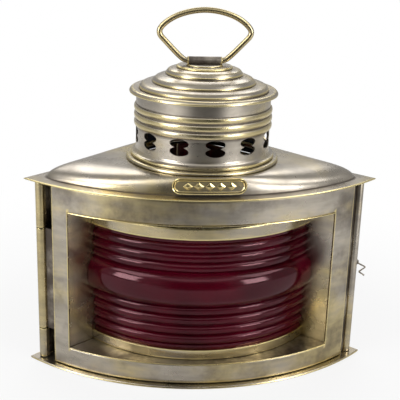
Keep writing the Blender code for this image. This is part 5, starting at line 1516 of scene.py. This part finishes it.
# Soft lights: name, place, width, height, power
SOFTBOXES = (
    ("softbox_left", (-0.97, -0.59, 0.40), 0.40, 0.50, 5.4),
    ("softbox_right", (0.85, -0.82, 0.40), 0.40, 0.50, 5.4),
    ("softbox_high_left", (-0.80, -0.35, 1.05), 0.60, 0.60, 3.4),
    ("softbox_high_right", (0.80, -0.30, 1.05), 0.60, 0.60, 3.0),
    ("softbox_back", (0.0, 0.90, 1.00), 1.2, 0.6, 6.0),
)
WHITE = (1.0, 1.0, 1.0, 1.0)
ROOM_LIGHT = 0.45
ROOM_SHADE = 0.42
OVERHEAD_LIGHT = 0.95


class LAMP_OT_stage(bpy.types.Operator):
    """Sets up the pale floor, the soft lights, the world and the camera"""

    bl_idname = "lamp.stage"
    bl_label = "Stage"

    def execute(self, context):
        self.make_floor()
        self.make_world(context.scene)
        for softbox in SOFTBOXES:
            self.make_softbox(*softbox)
        self.make_camera(context.scene)
        context.scene.view_settings.view_transform = "Standard"
        return {"FINISHED"}

    def make_floor(self):
        """A pale floor, white to the camera further out, with a dark patch in front that shades the glass."""
        look, tree, shader, coordinates = start_material("pale_floor")
        do = partial(calc, tree)
        colour = bpy.context.scene.lamp_colours.floor
        mottle = noise(tree, coordinates, 3.0, 2.0)
        shade = blend(tree, mottle, colour, [min(1.0, part * 1.03) for part in colour])
        spot = add(tree, "ShaderNodeSeparateXYZ", {0: coordinates}).outputs
        far = add(tree, "ShaderNodeVectorMath", {0: coordinates}, operation="LENGTH").outputs["Value"]
        front = do("DIVIDE", do("MULTIPLY", spot["Y"], -1.0), do("MAXIMUM", far, 0.001))
        unlit = do("MULTIPLY", spread(tree, front, 0.80, 0.96), spread(tree, far, 0.34, 0.50))
        shade = blend(tree, unlit, shade, [part * 0.05 for part in colour])
        fill(tree, shader, {"Base Color": shade, "Roughness": 0.9})
        glow = add(tree, "ShaderNodeEmission", {"Strength": 1.0, "Color": WHITE})
        seen = add(tree, "ShaderNodeLightPath").outputs["Is Camera Ray"]
        share = do("MULTIPLY", seen, spread(tree, far, 0.10, 0.42, 0.80, 1.0))
        mix = add(tree, "ShaderNodeMixShader", {0: share, 1: shader.outputs[0], 2: glow.outputs[0]})
        put(tree, tree.nodes["Material Output"].inputs["Surface"], mix.outputs[0])
        mesh = bpy.data.meshes.new("floor")
        corners = [(x * FLOOR_HALF, y * FLOOR_HALF, 0.0) for x, y in ((-1, -1), (1, -1), (1, 1), (-1, 1))]
        mesh.from_pydata(corners, [], [(0, 1, 2, 3)])
        mesh.materials.append(look)
        board = bpy.data.objects.new("floor", mesh)
        bpy.context.scene.collection.objects.link(board)

    def make_world(self, scene):
        """A soft grey room, dark behind the camera and bright in a band overhead, white to the camera."""
        world = bpy.data.worlds.new("studio")
        scene.world = world
        world.use_nodes = True
        tree = world.node_tree
        do = partial(calc, tree)
        coordinates = add(tree, "ShaderNodeTexCoord").outputs["Generated"]
        way = add(tree, "ShaderNodeSeparateXYZ", {0: coordinates}).outputs
        level = do("SQRT", do("ADD", do("POWER", way["X"], 2.0), do("POWER", way["Y"], 2.0)))
        facing = do("DIVIDE", do("MULTIPLY", way["Y"], -1.0), do("MAXIMUM", level, 0.001))
        dark = do("MULTIPLY", spread(tree, facing, 0.80, 0.97), spread(tree, way["Z"], 0.62, 0.35))
        band = do("MULTIPLY", spread(tree, way["Z"], 0.58, 0.66), spread(tree, way["Z"], 0.84, 0.78))
        band = do("MULTIPLY", band, spread(tree, way["Y"], 0.30, -0.10))
        room = do("SUBTRACT", ROOM_LIGHT, do("MULTIPLY", dark, ROOM_SHADE))
        strength = do("ADD", room, do("MULTIPLY", band, OVERHEAD_LIGHT))
        lit = tree.nodes["Background"]
        fill(tree, lit, {"Strength": strength, "Color": WHITE})
        white = add(tree, "ShaderNodeBackground", {"Strength": 1.0, "Color": WHITE})
        seen = add(tree, "ShaderNodeLightPath").outputs["Is Camera Ray"]
        mix = add(tree, "ShaderNodeMixShader", {0: seen, 1: lit.outputs[0], 2: white.outputs[0]})
        put(tree, tree.nodes["World Output"].inputs["Surface"], mix.outputs[0])

    def make_softbox(self, name, place, width, height, power):
        lamp = bpy.data.lights.new(name, "AREA")
        lamp.shape = "RECTANGLE"
        lamp.size = width
        lamp.size_y = height
        lamp.energy = power
        holder = bpy.data.objects.new(name, lamp)
        holder.location = place
        holder.rotation_euler = (Vector(LIGHT_TARGET) - Vector(place)).to_track_quat("-Z", "Y").to_euler()
        bpy.context.scene.collection.objects.link(holder)

    def make_camera(self, scene):
        yaw, pitch, roll = (math.radians(angle) for angle in CAMERA_TURNS)
        ahead = Vector((math.sin(yaw) * math.cos(pitch), math.cos(yaw) * math.cos(pitch), -math.sin(pitch)))
        right = Vector((math.cos(yaw), -math.sin(yaw), 0.0))
        up = right.cross(ahead)
        turned_right = right * math.cos(roll) - up * math.sin(roll)
        turned_up = right * math.sin(roll) + up * math.cos(roll)
        data = bpy.data.cameras.new("camera")
        data.sensor_width = SENSOR_WIDTH
        data.lens = CAMERA_FOCUS * SENSOR_WIDTH
        camera = bpy.data.objects.new("camera", data)
        turn = Matrix((turned_right, turned_up, -ahead)).transposed().to_4x4()
        camera.matrix_world = Matrix.Translation(Vector(CAMERA_AIM) - ahead * CAMERA_DISTANCE) @ turn
        scene.collection.objects.link(camera)
        scene.camera = camera


OPERATORS = (
    LAMP_OT_hood, LAMP_OT_plaque, LAMP_OT_neck, LAMP_OT_cap, LAMP_OT_handle, LAMP_OT_door, LAMP_OT_hinge,
    LAMP_OT_lens, LAMP_OT_lens_bands, LAMP_OT_walls, LAMP_OT_base_rim, LAMP_OT_rivets, LAMP_OT_oil_font,
    LAMP_OT_frame_finishes, LAMP_OT_stage,
)
GROUPS = (
    ("lamp_plan", PlanSizes), ("lamp_chimney", ChimneySizes), ("lamp_lens", LensSizes),
    ("lamp_colours", LampColours),
)


class LAMP_PT_panel(bpy.types.Panel):
    """Lists the lamp's sizes, colours and pieces"""

    bl_idname = "LAMP_PT_panel"
    bl_label = "Navigation Lamp"
    bl_space_type = "VIEW_3D"
    bl_region_type = "UI"
    bl_category = "Lamp"

    def draw(self, context):
        for group_name, _ in GROUPS:
            group = getattr(context.scene, group_name)
            box = self.layout.box()
            for name in group.bl_rna.properties.keys():
                if name not in ("rna_type", "name"):
                    box.prop(group, name)
        for operator in OPERATORS:
            self.layout.operator(operator.bl_idname)


def register():
    for name, group in GROUPS:
        bpy.utils.register_class(group)
        setattr(bpy.types.Scene, name, PointerProperty(type=group))
    for item in (*OPERATORS, LAMP_PT_panel):
        bpy.utils.register_class(item)


def unregister():
    for item in reversed((*OPERATORS, LAMP_PT_panel)):
        bpy.utils.unregister_class(item)
    for name, group in reversed(GROUPS):
        delattr(bpy.types.Scene, name)
        bpy.utils.unregister_class(group)


def main():
    register()
    for operator in OPERATORS:
        family, name = operator.bl_idname.split(".")
        getattr(getattr(bpy.ops, family), name)()
    bpy.context.view_layer.update()


if __name__ == "__main__":
    main()
